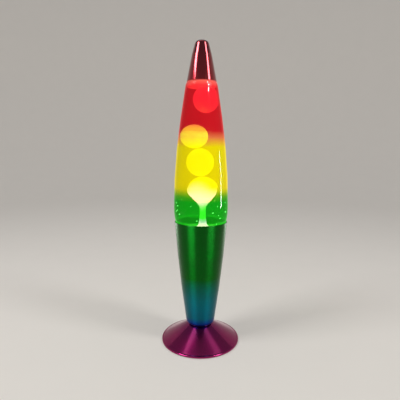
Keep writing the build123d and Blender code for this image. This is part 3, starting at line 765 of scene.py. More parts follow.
def new_material(name):
    material = bpy.data.materials.new(name)
    material.use_nodes = True
    material.node_tree.nodes.clear()
    return material, material.node_tree


def mottle(tree, size, detail=3.0):
    """Noise in spots about size across, which stay where they are on the piece."""
    place = node(tree, "ShaderNodeTexCoord").outputs["Object"]
    return node(tree, "ShaderNodeTexNoise", {"Vector": place, "Scale": 1 / size, "Detail": detail})


def tool_rings(tree, size):
    """Noise that runs round the lamp's axis, as the marks of a spinning tool do."""
    place = node(tree, "ShaderNodeTexCoord").outputs["Object"]
    x, y, z = node(tree, "ShaderNodeSeparateXYZ", {0: place}).outputs
    flat = node(tree, "ShaderNodeCombineXYZ", {"X": x, "Y": y})
    reach = node(tree, "ShaderNodeVectorMath", {0: flat}, operation="LENGTH").outputs["Value"]
    along = node(tree, "ShaderNodeCombineXYZ", {"X": reach, "Y": z})
    return node(
        tree, "ShaderNodeTexNoise", {"Vector": along, "Scale": 1 / size, "Detail": 2.0}, noise_dimensions="2D"
    )


def uneven(tree, size, lowest, highest):
    """A value that wanders between two limits, in spots about size across."""
    return node(tree, "ShaderNodeMapRange", {
        "Value": mottle(tree, size), **NOISE_RANGE, "To Min": lowest, "To Max": highest,
    })


def strayed(tree, pattern, roughness):
    """Roughness that strays a little about its value, as a pattern does."""
    lowest, highest = roughness * (1 - STRAY), roughness * (1 + STRAY)
    return node(tree, "ShaderNodeMapRange", {
        "Value": pattern, **NOISE_RANGE, "To Min": lowest, "To Max": highest,
    })


def by_height(tree, stops, drift=0.0):
    """A colour by height, from (height, colour) stops, its borders wandering by up to drift."""
    place = node(tree, "ShaderNodeTexCoord").outputs["Object"]
    z = node(tree, "ShaderNodeSeparateXYZ", {0: place}).outputs[2]
    if drift:
        about = node(tree, "ShaderNodeMath", {0: mottle(tree, BORDER_SPOTS), 1: 0.5}, operation="SUBTRACT")
        wander = node(tree, "ShaderNodeMath", {0: about, 1: drift}, operation="MULTIPLY")
        z = node(tree, "ShaderNodeMath", {0: z, 1: wander}, operation="ADD")
    first, last = stops[0][0], stops[-1][0]
    part = node(tree, "ShaderNodeMapRange", {"Value": z, "From Min": first, "From Max": last})
    ramp = node(tree, "ShaderNodeValToRGB", {"Fac": part})
    marks = ramp.color_ramp.elements
    for i, (height, value) in enumerate(stops):
        spot = (height - first) / (last - first)
        mark = marks[i] if i < 2 else marks.new(spot)
        mark.position = spot
        mark.color = (*value, 1.0)
    return ramp.outputs["Color"]


def finish(name):
    """A new material from the table of plain finishes."""
    tint, other, size, roughness, depth, more = FINISHES[name]
    material, tree = new_material(name)
    spots = mottle(tree, size * MM)
    part = node(tree, "ShaderNodeMapRange", {"Value": spots, **NOISE_RANGE})
    tints = node(tree, "ShaderNodeMix", {0: part, 6: rgba(tint), 7: rgba(other)}, data_type="RGBA")
    inputs = {"Base Color": tints.outputs[2], "Roughness": strayed(tree, spots, roughness)}
    if depth:
        inputs["Normal"] = node(tree, "ShaderNodeBump", {"Height": spots, "Distance": depth * MM})
    for key, value in more.items():
        inputs[key] = rgba(value) if isinstance(value, str) else value
    shader = node(tree, "ShaderNodeBsdfPrincipled", inputs)
    node(tree, "ShaderNodeOutputMaterial", {"Surface": shader})
    return material


def anodised(name, stops, roughness, anisotropy, coat):
    """Spun aluminium, anodised and dyed.

    The dye colours the metal's own shine, the spinning marks draw that shine out into upright streaks, and
    the sealed oxide skin lies over it as a thin clear gloss.
    """
    material, tree = new_material(name)
    marks = tool_rings(tree, TOOL_MARKS)
    dulled = uneven(tree, DYE_CLOUDS, 0.0, DYE_DULLING)
    dye = by_height(tree, stops, DYE_DRIFT)
    tint = node(tree, "ShaderNodeMix", {0: dulled, 6: dye, 7: rgba(DULL)}, data_type="RGBA")
    shader = node(tree, "ShaderNodeBsdfPrincipled", {
        "Base Color": tint.outputs[2],
        "Metallic": 1.0,
        "Roughness": strayed(tree, marks, roughness),
        "Anisotropic": anisotropy,
        "Anisotropic Rotation": 0.25,
        "Tangent": node(tree, "ShaderNodeTangent", direction_type="RADIAL", axis="Z"),
        "Normal": node(tree, "ShaderNodeBump", {"Height": marks, "Distance": TOOL_DEPTH}),
        "Coat Weight": coat,
        "Coat Roughness": 0.08,
    })
    node(tree, "ShaderNodeOutputMaterial", {"Surface": shader})
    return material


def facing(tree, power):
    """0 where the surface faces the eye, rising to 1 at its edge."""
    weight = node(tree, "ShaderNodeLayerWeight", {"Blend": 0.5}).outputs["Facing"]
    return node(tree, "ShaderNodeMath", {0: weight, 1: power}, operation="POWER")


def see_through(tree, part, tint, body):
    """A shader that lets tinted light through, but for a part of it, which grows towards the edges."""
    clear = node(tree, "ShaderNodeBsdfTransparent", {"Color": tint})
    edge = node(tree, "ShaderNodeMath", {0: facing(tree, 3.0), 1: EDGE_SHARE}, operation="MULTIPLY")
    shown = node(tree, "ShaderNodeMath", {0: edge, 1: part}, operation="ADD")
    return node(tree, "ShaderNodeMixShader", {0: shown, 1: clear, 2: body})


def clear_glass(name):
    """Clear soda-lime glass: a trace of green in its thickness, under a sharp gloss."""
    material, tree = new_material(name)
    body = node(tree, "ShaderNodeBsdfPrincipled", {
        "Base Color": rgba("#27302c"), "Roughness": uneven(tree, GLASS_WAVES, 0.03, 0.05),
    })
    shader = see_through(tree, GLASS_SHARE, rgba("#fafdfb"), body)
    node(tree, "ShaderNodeOutputMaterial", {"Surface": shader})
    return material


def clear_liquid(name):
    """The clear water mix that the wax moves in: hardly seen, because the wall hides its own gloss."""
    material, tree = new_material(name)
    body = node(tree, "ShaderNodeBsdfPrincipled", {
        "Base Color": rgba("#272727"), "Roughness": uneven(tree, GLASS_WAVES, 0.3, 0.4),
        "Specular IOR Level": 0.1,
    })
    shader = see_through(tree, LIQUID_SHARE, rgba("#fdfdfd"), body)
    node(tree, "ShaderNodeOutputMaterial", {"Surface": shader})
    return material


def between(a, b, part):
    """A colour between two others."""
    return tuple(x + (y - x) * part for x, y in zip(a, b))


def in_mm(*stops):
    """Colour stops whose heights are given in millimetres."""
    return [(height * MM, value) for height, value in stops]


def colour_at(stops, height):
    """The colour that (height, colour) stops give at one height."""
    for (z0, a), (z1, b) in zip(stops, stops[1:]):
        if z0 <= height <= z1:
            return between(a, b, (height - z0) / (z1 - z0))
    return tuple(stops[0 if height < stops[0][0] else -1][1])


def glow_stops(s):
    """The painted glass's colour by height."""
    return in_mm(
        (172, s.bottom), (173.5, s.glow), (175.5, s.glow), (178, s.bottom), (205, s.bottom),
        (211, between(s.bottom, s.middle, 0.1)), (216, between(s.bottom, s.middle, 0.45)),
        (222, s.middle), (276, s.middle), (289, s.blend), (297, s.top), (354, s.top),
        # The last stop is the painted reflection along the shoulder.
        (360.5, s.shoulder_painted_reflection),
    )


def tint_of(glow):
    """The light that the paint lets through where it glows in a colour."""
    strongest = max(glow)
    return tuple(TINT_LEAST + TINT_SPAN * sqrt(c / strongest) for c in glow)


def painted_glass(name, s):
    """Soda-lime glass sprayed outside with clear paints that run into each other.

    Lit from within by wax and bulb, it shows as glowing colour, deeper at its edges, under a soft wavy gloss.
    """
    stops = glow_stops(s)
    material, tree = new_material(name)
    fall = node(tree, "ShaderNodeMath", {0: facing(tree, 2.0), 1: GLOW_FALL}, operation="MULTIPLY")
    waves = mottle(tree, PAINT_WAVES, detail=1.0)
    body = node(tree, "ShaderNodeBsdfPrincipled", {
        "Base Color": by_height(tree, [(z, rgba(c, UNLIT)[:3]) for z, c in stops], PAINT_DRIFT),
        "Roughness": uneven(tree, GLASS_WAVES, 0.05, 0.07),
        "Normal": node(tree, "ShaderNodeBump", {"Height": waves, "Distance": PAINT_DEPTH}),
        "Specular IOR Level": 0.16,
        "Emission Color": by_height(tree, stops, PAINT_DRIFT),
        "Emission Strength": node(tree, "ShaderNodeMath", {0: 1.0, 1: fall}, operation="SUBTRACT"),
    })
    tint = by_height(tree, [(z, tint_of(c)) for z, c in stops], PAINT_DRIFT)
    node(tree, "ShaderNodeOutputMaterial", {"Surface": see_through(tree, GLOW_SHARE, tint, body)})
    return material


def through_paint(s, stops):
    """What wax has to give off at each height to show in a colour through liquid and painted glass."""
    heights = {z for z, _ in stops} | {z for z, _ in glow_stops(s) if stops[0][0] < z < stops[-1][0]}
    lit = []
    for z in sorted(heights):
        glow = colour_at(glow_stops(s), z)
        lit.append((z, tuple(
            max(WAX_LEAST, (shown - GLOW_SHARE * own) / ((1 - GLOW_SHARE) * tint))
            for shown, own, tint in zip(colour_at(stops, z), glow, tint_of(glow))
        )))
    return lit


def lit_wax(name, s, stops, core=None):
    """Paraffin wax lit from within: soft, smooth and evenly bright, and paler at its core above the bulb, as
    painted light.

    Stops give the colour that it shows by height, through liquid and painted glass.
    """
    material, tree = new_material(name)
    shown = by_height(tree, through_paint(s, stops), WAX_DRIFT)
    if core:
        place = node(tree, "ShaderNodeTexCoord").outputs["Object"]
        away = node(tree, "ShaderNodeVectorMath", {0: place, 1: CORE_PLACE}, operation="DISTANCE")
        near = node(tree, "ShaderNodeMapRange", {
            "Value": away.outputs["Value"], "From Min": CORE_INNER, "From Max": CORE_OUTER, "To Min": 1.0,
            "To Max": 0.0,
        }, interpolation_type="SMOOTHSTEP")
        paler = by_height(tree, through_paint(s, [(z, core) for z, _ in stops]))
        shown = node(tree, "ShaderNodeMix", {0: near, 6: shown, 7: paler}, data_type="RGBA").outputs[2]
    swellings = mottle(tree, WAX_SWELLINGS, detail=1.0)
    body = node(tree, "ShaderNodeBsdfPrincipled", {
        "Base Color": rgba("#89897c"),
        "Roughness": 0.35,
        "Emission Color": shown,
        "Emission Strength": uneven(tree, WAX_SPOTS, 0.95, 1.0),
        "Normal": node(tree, "ShaderNodeBump", {"Height": swellings, "Distance": WAX_DEPTH}),
    })
    node(tree, "ShaderNodeOutputMaterial", {"Surface": body})
    return material


def air_bubbles(name):
    """Air bubbles that catch the bulb's light, as bright points of uneven strength."""
    material, tree = new_material(name)
    body = node(tree, "ShaderNodeBsdfPrincipled", {
        "Base Color": rgba("#cbe7bc"),
        "Roughness": 0.1,
        "Emission Color": rgba("#ffffed"),
        "Emission Strength": uneven(tree, 0.6 * MM, 3.0, 6.0),
    })
    node(tree, "ShaderNodeOutputMaterial", {"Surface": body})
    return material


def silvered_glass(name, band, blur):
    """Bulb glass: silvered inside and mirroring below its band, etched and glowing warm above it."""
    material, tree = new_material(name)
    place = node(tree, "ShaderNodeTexCoord").outputs["Object"]
    z = node(tree, "ShaderNodeSeparateXYZ", {0: place}).outputs[2]
    face = node(tree, "ShaderNodeMapRange", {"Value": z, "From Min": band - blur, "From Max": band + blur})
    tint = node(tree, "ShaderNodeMix", {0: face, 6: rgba("#eaeae7"), 7: rgba("#f7f3ea")}, data_type="RGBA")
    etched = node(tree, "ShaderNodeMath", {0: face, 1: 0.35}, operation="MULTIPLY")
    shader = node(tree, "ShaderNodeBsdfPrincipled", {
        "Base Color": tint.outputs[2],
        "Metallic": node(tree, "ShaderNodeMath", {0: 1.0, 1: face}, operation="SUBTRACT"),
        "Roughness": node(tree, "ShaderNodeMath", {0: etched, 1: 0.12}, operation="ADD"),
        "Emission Color": rgba("#ffdfad"),
        "Emission Strength": node(tree, "ShaderNodeMath", {0: face, 1: 0.9}, operation="MULTIPLY"),
        "Normal": node(tree, "ShaderNodeBump", {"Height": mottle(tree, FROST), "Distance": FROST_DEPTH}),
    })
    node(tree, "ShaderNodeOutputMaterial", {"Surface": shader})
    return material


def backdrop_paper(name, ground):
    """Matt studio paper, faintly clouded over 60 mm.

    Cameras, mirrors and glass also see it partly by a light of its own, so it stays pale behind the lamp.
    """
    material, tree = new_material(name)
    clouds = uneven(tree, 60 * MM, 0.0, 0.15)
    shade = node(tree, "ShaderNodeMix", {0: clouds, 6: rgba(ground), 7: rgba(ground, 0.9)}, data_type="RGBA")
    body = node(tree, "ShaderNodeBsdfPrincipled", {
        "Base Color": shade.outputs[2], "Roughness": 0.85, "Specular IOR Level": 0.2,
    })
    pale = node(tree, "ShaderNodeEmission", {"Color": rgba(ground), "Strength": 1.0})
    ray = node(tree, "ShaderNodeLightPath").outputs
    bent = node(
        tree, "ShaderNodeMath", {0: ray["Is Glossy Ray"], 1: ray["Is Transmission Ray"]}, operation="MAXIMUM"
    )
    seen = node(tree, "ShaderNodeMath", {0: ray["Is Camera Ray"], 1: bent}, operation="MAXIMUM")
    part = node(tree, "ShaderNodeMath", {0: seen, 1: 0.3}, operation="MULTIPLY")
    both = node(tree, "ShaderNodeMixShader", {0: part, 1: body, 2: pale})
    node(tree, "ShaderNodeOutputMaterial", {"Surface": both})
    return material


def dress(piece, material):
    piece.data.materials.clear()
    piece.data.materials.append(material)


def dress_nodes(material, *names):
    """Gives CAD nodes that stay in view their material."""
    for name in names:
        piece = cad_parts[name]
        for slot in piece.material_slots:
            slot.material = material
        if not piece.material_slots:
            piece.data.materials.append(material)


def seat(piece, material, body, slot, *nodes):
    """Gives a piece its material and the body it moves with, and hides the CAD nodes that it replaces. Its
    slot is not used.
    """
    dress(piece, material)
    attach(piece, body)
    if nodes:
        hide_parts(*nodes)


# Operators

# Pads and screws stand in threes, the first pad and the first screw at these angles about the lamp.
FIXINGS = 3
FIRST_PAD = 90
FIRST_SCREW = 30
# Radii in mm of the bends up the wax column's side, from the pool's edge to under the drop's widest place.
FLANK_BENDS = (6, 5, 20, 12, 12)
# A blob's outline is made of arcs, so a ball's edge has to be a little less than its half height.
NEARLY_ROUND = 0.999
# Lights round the lamp. Each has its turn about the lamp in degrees, its distance, the heights of its lower
# and upper edges and its width in metres, its brightness, and the piece it lights, if it lights only one.
SIDE_LIGHTS = (
    ("soft_box_high_left", -66, 0.85, 0.90, 1.30, 0.36, 15.0, None),
    ("soft_box_high_right", 64, 0.85, 0.74, 1.30, 0.22, 12.0, None),
    ("strip_right", 92, 0.90, 0.08, 0.36, 0.05, 80.0, "bottle_painted"),
    ("strip_shoulder", 50, 0.90, 0.77, 1.40, 0.05, 600.0, "bottle_painted"),
    ("low_strip_left", -41, 0.60, 0.00, 0.08, 0.30, 15.0, "cup_spun"),
    ("low_strip_right", 46, 0.60, 0.00, 0.08, 0.30, 11.5, "cup_spun"),
    ("low_strip_back_right", 136, 0.60, 0.00, 0.08, 0.30, 2.5, "cup_spun"),
    ("low_strip_back_left", -134, 0.60, 0.00, 0.08, 0.30, 3.0, "cup_spun"),
)
# Lights overhead: sideways place and width in metres, and brightness.
TOP_LIGHTS = (
    ("soft_box_over_left", -0.20, 0.20, 1.0),
    ("soft_box_over_right", 0.35, 0.16, 0.55),
)
# Their length, how far behind the lamp and how high they hang, and the height they face, in metres.
TOP_LIGHT_LENGTH = 0.6
TOP_LIGHT_BACK = 0.1
TOP_LIGHT_HEIGHT = 1.1
TOP_LIGHT_AIM = -2.0
# The backdrop in metres: its flat floor, the centre of the sweep up to its wall, and the wall's top.
FLOOR_RADIUS = 0.5
SWEEP_CENTRE = (1.5, 0.9)
WALL_TOP = (2.4, 1.9)
# The camera's sensor in millimetres, and the nearest and farthest distance it sees, in metres.
SENSOR = 36.0
NEAREST = 0.01
FARTHEST = 20.0


class LAMP_OT_foot(bpy.types.Operator):
    """Build the spun foot and dress the plate and the grommet in it"""

    bl_idname = "lamp.foot"
    bl_label = "Foot"

    def execute(self, context):
        s = context.scene.lamp_foot
        lip_top = s.rim_height + s.lip_height
        cone_foot = s.rim_radius - s.lip_width
        points = [
            (s.hole_radius, s.land_height),
            (s.land_radius, s.land_height),
            (cone_foot, lip_top + s.lip_fall),
            (s.rim_radius, lip_top),
            (s.rim_radius, s.rim_height),
        ]
        outline = sheet(points, [s.bend] * 3, s.wall)
        shell = lathe("foot_spun", outline, closed=True, segments=WIDE_SEGMENTS)
        fall = atan2(s.land_height - lip_top - s.lip_fall, cone_foot - s.land_radius)
        height = s.land_height - (s.grommet_circle - s.land_radius) * tan(fall)
        spot = Matrix.Translation((0, s.grommet_circle, height)) @ Matrix.Rotation(-fall, 4, "X")
        shell = drilled(shell, cylinder("hole", s.grommet_hole, s.drill_depth, spot))
        # The foot darkens from its own colour to painted shade under the cup.
        stops = in_mm((1, s.tint), (12, s.tint), (24, s.shade), (25, s.shade))
        metal = anodised("foot_anodised_aluminium", stops, roughness=0.17, anisotropy=0.2, coat=0.4)
        seat(shell, metal, "base", "foot_anodised", "foot_shell")
        dress_nodes(finish("grommet_moulded_rubber"), "cord_grommet")
        dress_nodes(finish("zinc_plated_sheet_steel"), "bottom_plate", "plate_lugs")
        return {"FINISHED"}


class LAMP_OT_fixings(bpy.types.Operator):
    """Build the three pads and the three screws under the foot"""

    bl_idname = "lamp.fixings"
    bl_label = "Pads and screws"

    def execute(self, context):
        s = context.scene.lamp_fixings
        rubber = finish("moulded_black_rubber")
        pad = lathe("pad", [
            (0, 0),
            *arc((s.pad_radius - s.edge, s.edge), s.edge, -90, 0),
            (s.pad_radius, s.pad_height),
            (0, s.pad_height),
        ], segments=SMALL_SEGMENTS)
        pads = repeated("foot_pads_soft", pad, FIXINGS, s.pad_circle, radians(FIRST_PAD), rubber)
        seat(pads, rubber, "base", "black_rubber", "foot_pads")
        steel = finish("bright_zinc_screw_steel")
        base, top = low("plate_screws").z, high("plate_screws").z
        screw = lathe("screw", [
            (0, base),
            *arc((s.head_radius - s.edge, base + s.edge), s.edge, -90, 0),
            (s.head_radius, base + s.head_height),
            (s.shank_radius, base + s.head_height),
            (s.shank_radius, top),
            (0, top),
        ], segments=SMALL_SEGMENTS)
        size = Matrix.Diagonal((s.head_radius, s.slot_width, 2 * s.slot_depth, 1))
        for turn in (0, pi / 2):
            slot = Matrix.Translation((0, 0, base)) @ Matrix.Rotation(turn, 4, "Z") @ size
            screw = drilled(screw, box("slot", slot))
        screws = repeated("plate_screws_cross", screw, FIXINGS, s.screw_circle, radians(FIRST_SCREW), steel)
        seat(screws, steel, "base", "zinc_steel", "plate_screws")
        return {"FINISHED"}


class LAMP_OT_cup(bpy.types.Operator):
    """Build the spun cup that the bottle stands in"""

    bl_idname = "lamp.cup"
    bl_label = "Cup"

    def execute(self, context):
        s = context.scene.lamp_cup
        half = s.wall / 2
        rim = arc((s.rim_radius - half, s.rim_height - half), half, 0, 180)
        outer = [p for p in cup_outline(s, 0.0) if p[1] < s.rim_height - half]
        inner = [p for p in cup_outline(s, s.wall) if p[1] < s.rim_height - half]
        hole = [(s.hole_radius, s.base_height + s.wall), (s.hole_radius, s.base_height)]
        outline = outer + rim + inner[::-1] + hole
        cup = lathe("cup_spun", outline, closed=True, segments=WIDE_SEGMENTS)
        # The lower edge takes the ring's colour darkened, as painted shade under the cup's bend.
        edge = tuple(c * s.ring_painted_shade for c in s.ring)
        stops = in_mm(
            (25, edge), (30, s.ring), (38, s.bottom), (46, s.bottom), (66, s.middle), (98, s.top),
            (174, s.top),
        )
        metal = anodised("cup_anodised_aluminium", stops, roughness=0.32, anisotropy=0.75, coat=0.1)
        seat(cup, metal, "base", "cup_anodised", "cup_shell")
        return {"FINISHED"}


class LAMP_OT_holder(bpy.types.Operator):
    """Build the threads of tube and lamp holder, and dress the holder's other parts"""

    bl_idname = "lamp.holder"
    bl_label = "Lamp holder"

    def execute(self, context):
        s = context.scene.lamp_holder
        zinc, brass = finish("zinc_plated_turned_steel"), finish("drawn_brass")
        tube = thread(
            "tube_threaded", "threaded_tube", s.tube_bore, s.tube_pitch, outside_depth=s.tube_thread
        )
        seat(tube, zinc, "base", "zinc_steel", "threaded_tube")
        shell = thread(
            "holder_shell_threaded", "holder_shell", s.shell_bore, s.shell_pitch, inside_depth=s.shell_thread
        )
        seat(shell, brass, "base", "brass", "holder_shell")
        dress_nodes(zinc, "tube_washers", "tube_nuts")
        dress_nodes(finish("white_phenolic_moulding"), "holder_base", "holder_sleeve")
        dress_nodes(finish("pressed_steatite"), "holder_core")
        dress_nodes(brass, "terminal_screws", "centre_contact")
        return {"FINISHED"}


class LAMP_OT_bulb(bpy.types.Operator):
    """Build the reflector bulb and its screw cap, and dress what is inside them"""

    bl_idname = "lamp.bulb"
    bl_label = "Bulb"

    def execute(self, context):
        s = context.scene.lamp_bulb
        top, bottom = high("bulb_glass").z, low("bulb_glass").z
        band = top - s.band_fall
        points = [
            (0, top),
            (s.face_radius, top - s.face_fall),
            (s.bowl_radius, top - s.bowl_fall),
            (s.bowl_radius, band),
            (s.cone_radius, bottom + s.cone_rise),
            (s.neck_radius, bottom + s.neck_rise),
            (s.neck_radius, bottom),
        ]
        glass = lathe("bulb_reflector", sheet(points, [s.bend] * 4 + [s.neck_bend], s.wall))
        silvered = silvered_glass("silvered_and_frosted_glass", band, s.silver_edge)
        seat(glass, silvered, "bulb", "frosted_bulb", "bulb_glass")
        cap = thread("bulb_cap_threaded", "bulb_cap", s.cap_bore, s.cap_pitch, outside_depth=s.cap_thread)
        seat(cap, finish("nickel_plated_brass"), "bulb", "nickel", "bulb_cap")
        dress_nodes(finish("tin_solder"), "bulb_tip")
        dress_nodes(finish("black_vitrite"), "bulb_insulator")
        dress_nodes(finish("clear_stem_glass"), "bulb_seal")
        dress_nodes(finish("nickel_lead_wire"), "bulb_leads")
        dress_nodes(finish("hot_tungsten_wire"), "bulb_filament")
        return {"FINISHED"}


class LAMP_OT_bottle(bpy.types.Operator):
    """Build the glass bottle and dress its crown closure"""

    bl_idname = "lamp.bottle"
    bl_label = "Bottle"

    def execute(self, context):
        s = context.scene.lamp_bottle
        lip = s.finish_radius - s.neck_radius
        top = s.mouth_height
        band_foot = top - s.finish_height
        band = rounded([
            (s.neck_radius, band_foot),
            (s.finish_radius, band_foot + lip),
            (s.finish_radius, top - lip),
            (s.neck_radius, top),
            (s.neck_radius - s.wall, top),
        ], [s.band_foot, s.band_side, s.band_top])
        outer = [p for p in bottle_outline(s, 0.0)[:-1] if p[1] < band_foot]
        inner = bottle_outline(s, s.wall)[:-1]
        skirt = [(0, s.base_height)] + outer
        outline = skirt + band + inner[::-1] + [(0, s.base_height + s.wall)]
        glass = lathe("bottle_painted", outline, segments=WIDE_SEGMENTS)
        seat(glass, painted_glass("sprayed_soda_lime_glass", s), "bottle", "painted_glass", "bottle_glass")
        glass.data.materials.append(clear_glass("clear_soda_lime_glass"))
        for face in glass.data.polygons:
            x, y, z = face.center
            painted = s.base_height + s.wall < z < skirt[-1][1]
            painted = painted and hypot(x, y) > radius_at(skirt, z) - s.wall / 2
            face.material_index = 0 if painted else 1
        dress_nodes(finish("enamelled_tinplate"), "crown_closure")
        dress_nodes(finish("liner_vinyl"), "closure_liner")
        return {"FINISHED"}


class LAMP_OT_liquid(bpy.types.Operator):
    """Build the clear liquid and the bubbles on the glass"""

    bl_idname = "lamp.liquid"
    bl_label = "Liquid"

    def execute(self, context):
        s, b, w = context.scene.lamp_liquid, context.scene.lamp_bottle, context.scene.lamp_wax
        wall = bottle_outline(b, b.wall + b.film / 2)
        outline = [(0, wall[0][1])] + [p for p in wall if p[1] < w.fill_height]
        outline += [(radius_at(wall, w.fill_height), w.fill_height), (0, w.fill_height)]
        liquid = lathe("liquid_clear", outline)
        seat(liquid, clear_liquid("clear_water_mix"), "bottle", "clear_liquid", "liquid")
        near_glass = [p for p in bottle_outline(b, b.wall + s.depth) if s.lowest < p[1] < s.highest]
        ring = lathe("bubble_wall", near_glass, segments=SMALL_SEGMENTS)
        air = air_bubbles("air_bubbles")
        bubbles = grown(
            "bubbles_on_glass", bubble_group(), Wall=ring, Density=s.density, Smallest=s.smallest,
            Largest=s.largest, Seed=s.seed, Material=air,
        )
        bpy.data.objects.remove(ring)
        seat(bubbles, air, "bottle", "clear_liquid")
        return {"FINISHED"}


class LAMP_OT_wax(bpy.types.Operator):
    """Build the wax: the pool with its stem and drop, the two blobs and the wax at the top"""

    bl_idname = "lamp.wax"
    bl_label = "Wax"

    def execute(self, context):
        s, w = context.scene.lamp_bottle, context.scene.lamp_wax
        wall = bottle_outline(s, s.wall + s.film)
        # The last stop is the painted reflection along the shoulder.
        stops = in_mm(
            (165, s.bottom), (167, w.flare), (172, w.flare), (178, w.stem), (195, w.stem), (200, w.neck),
            (207, w.pale), (222, w.middle), (284, w.middle), (297, w.side), (300, w.side),
            (305, w.upper_side), (316, w.top), (353, w.top), (360.5, w.crest_painted_reflection),
        )
        wax = lit_wax("lit_paraffin_wax", s, stops)
        by_bulb = lit_wax("lit_paraffin_wax_by_bulb", s, stops, w.pale)
        seat(self.column(w, wall), by_bulb, "bottle", "lit_wax", "wax_column")
        seat(self.gathered(w, wall), wax, "bottle", "lit_wax", "wax_top")
        side_blob = self.blob("wax_side_blob", "side_blob", w.side_edge)
        seat(side_blob, wax, "rising_side_blob", "lit_wax", "side_blob")
        middle_blob = self.blob("wax_middle_blob", "middle_blob")
        seat(middle_blob, wax, "rising_middle_blob", "lit_wax", "middle_blob")
        dress_nodes(finish("wound_spring_steel"), "heating_coil")
        return {"FINISHED"}

    def blob(self, name, source, edge=None):
        """An oval blob as large as a CAD node. Without a radius for its edge it is nearly a ball."""
        bottom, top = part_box(source)
        half = (top - bottom) / 2
        upper = oval(half.x, half.z, edge or half.z * NEARLY_ROUND, 0.0)
        outline = [(r, -z) for r, z in upper[::-1]] + upper[1:]
        outline[0], outline[-1] = (0, -half.z), (0, half.z)
        made = lathe(name, outline)
        made.data.transform(Matrix.Translation(((top.x + bottom.x) / 2, 0, (top.z + bottom.z) / 2)))
        return made

    def column(self, w, wall):
        """Pool, stem and drop as one body, with room for the heating coil in its underside."""
        floor = wall[0][1]
        inner, outer = w.coil_circle - w.coil_room, w.coil_circle + w.coil_room
        roof = floor + w.coil_height
        under = [(0, floor), (inner, floor), (inner, roof), (outer, roof), (outer, floor)]
        edge = radius_at(wall, w.pool_height)
        pool = under + [p for p in wall if p[1] < w.pool_height] + [(edge, w.pool_height)]
        neck = w.drop_height - w.neck_fall
        upper = oval(w.drop_half_width, w.drop_top, w.drop_edge, w.drop_height)
        upper[-1] = (0, w.drop_height + w.drop_top)
        flank = rounded([
            (edge - w.meniscus, w.pool_height),
            (w.flare_radius, w.pool_height),
            (w.throat_radius, w.pool_height + w.throat_rise),
            (w.stem_radius, neck - w.stem_fall),
            (w.stem_radius, neck),
            (w.drop_half_width, w.drop_height - w.flank_fall),
            (w.drop_half_width, w.drop_height),
        ], [bend * MM for bend in FLANK_BENDS])
        shifts = [0.0] * len(pool)
        for r, _ in flank:
            shifts.append(w.drop_offset * min(1.0, max(0.0, (edge - r) / (edge - w.flare_radius))))
        shifts += [w.drop_offset] * (len(upper) - 1)
        return lathe("wax_pool_and_drop", pool + flank + upper[1:], shifts=shifts)

    def gathered(self, w, wall):
        """Wax under the shoulder with the blob that hangs from it, kept inside the glass."""
        centre = w.fill_height - w.hanging_depth
        radius = w.hanging_radius
        under = w.fill_height - w.gathered
        start = degrees(asin((under - centre) / radius))
        blob = arc((0, centre), radius, -90, start)
        blob[0] = (0, centre - radius)
        side = [p for p in wall if under < p[1] < w.fill_height]
        outline = blob + [(radius_at(wall, under), under)] + side
        outline += [(radius_at(wall, w.fill_height), w.fill_height), (0, w.fill_height)]
        shifts = [w.hanging_offset] * len(blob) + [0.0] * (len(outline) - len(blob))
        return lathe("wax_gathered", outline, shifts=shifts, inside=[(0, 0), *wall])


class LAMP_OT_cap(bpy.types.Operator):
    """Build the spun cap on the bottle"""

    bl_idname = "lamp.cap"
    bl_label = "Cap"

    def execute(self, context):
        s = context.scene.lamp_cap
        nose = s.top_height - s.dome
        waist = nose - s.nose_height
        rim = waist - s.lower_height
        points = [(0, s.top_height), (s.nose_radius, nose), (s.waist_radius, waist), (s.rim_radius, rim)]
        outline = sheet(points, [s.nose_bend, s.waist_bend], s.wall)
        cap = lathe("cap_spun", outline, segments=WIDE_SEGMENTS)
        # The nose takes the cap's colour darkened, as painted shade on the cap's top.
        painted_dark_nose = tuple(c * s.nose_painted_shade for c in s.tint)
        stops = in_mm((360, s.tint), (385, s.tint), (404, painted_dark_nose), (414, painted_dark_nose))
        metal = anodised("cap_anodised_aluminium", stops, roughness=0.11, anisotropy=0.2, coat=1.0)
        seat(cap, metal, "cap", "cap_anodised", "cap_shell")
        return {"FINISHED"}


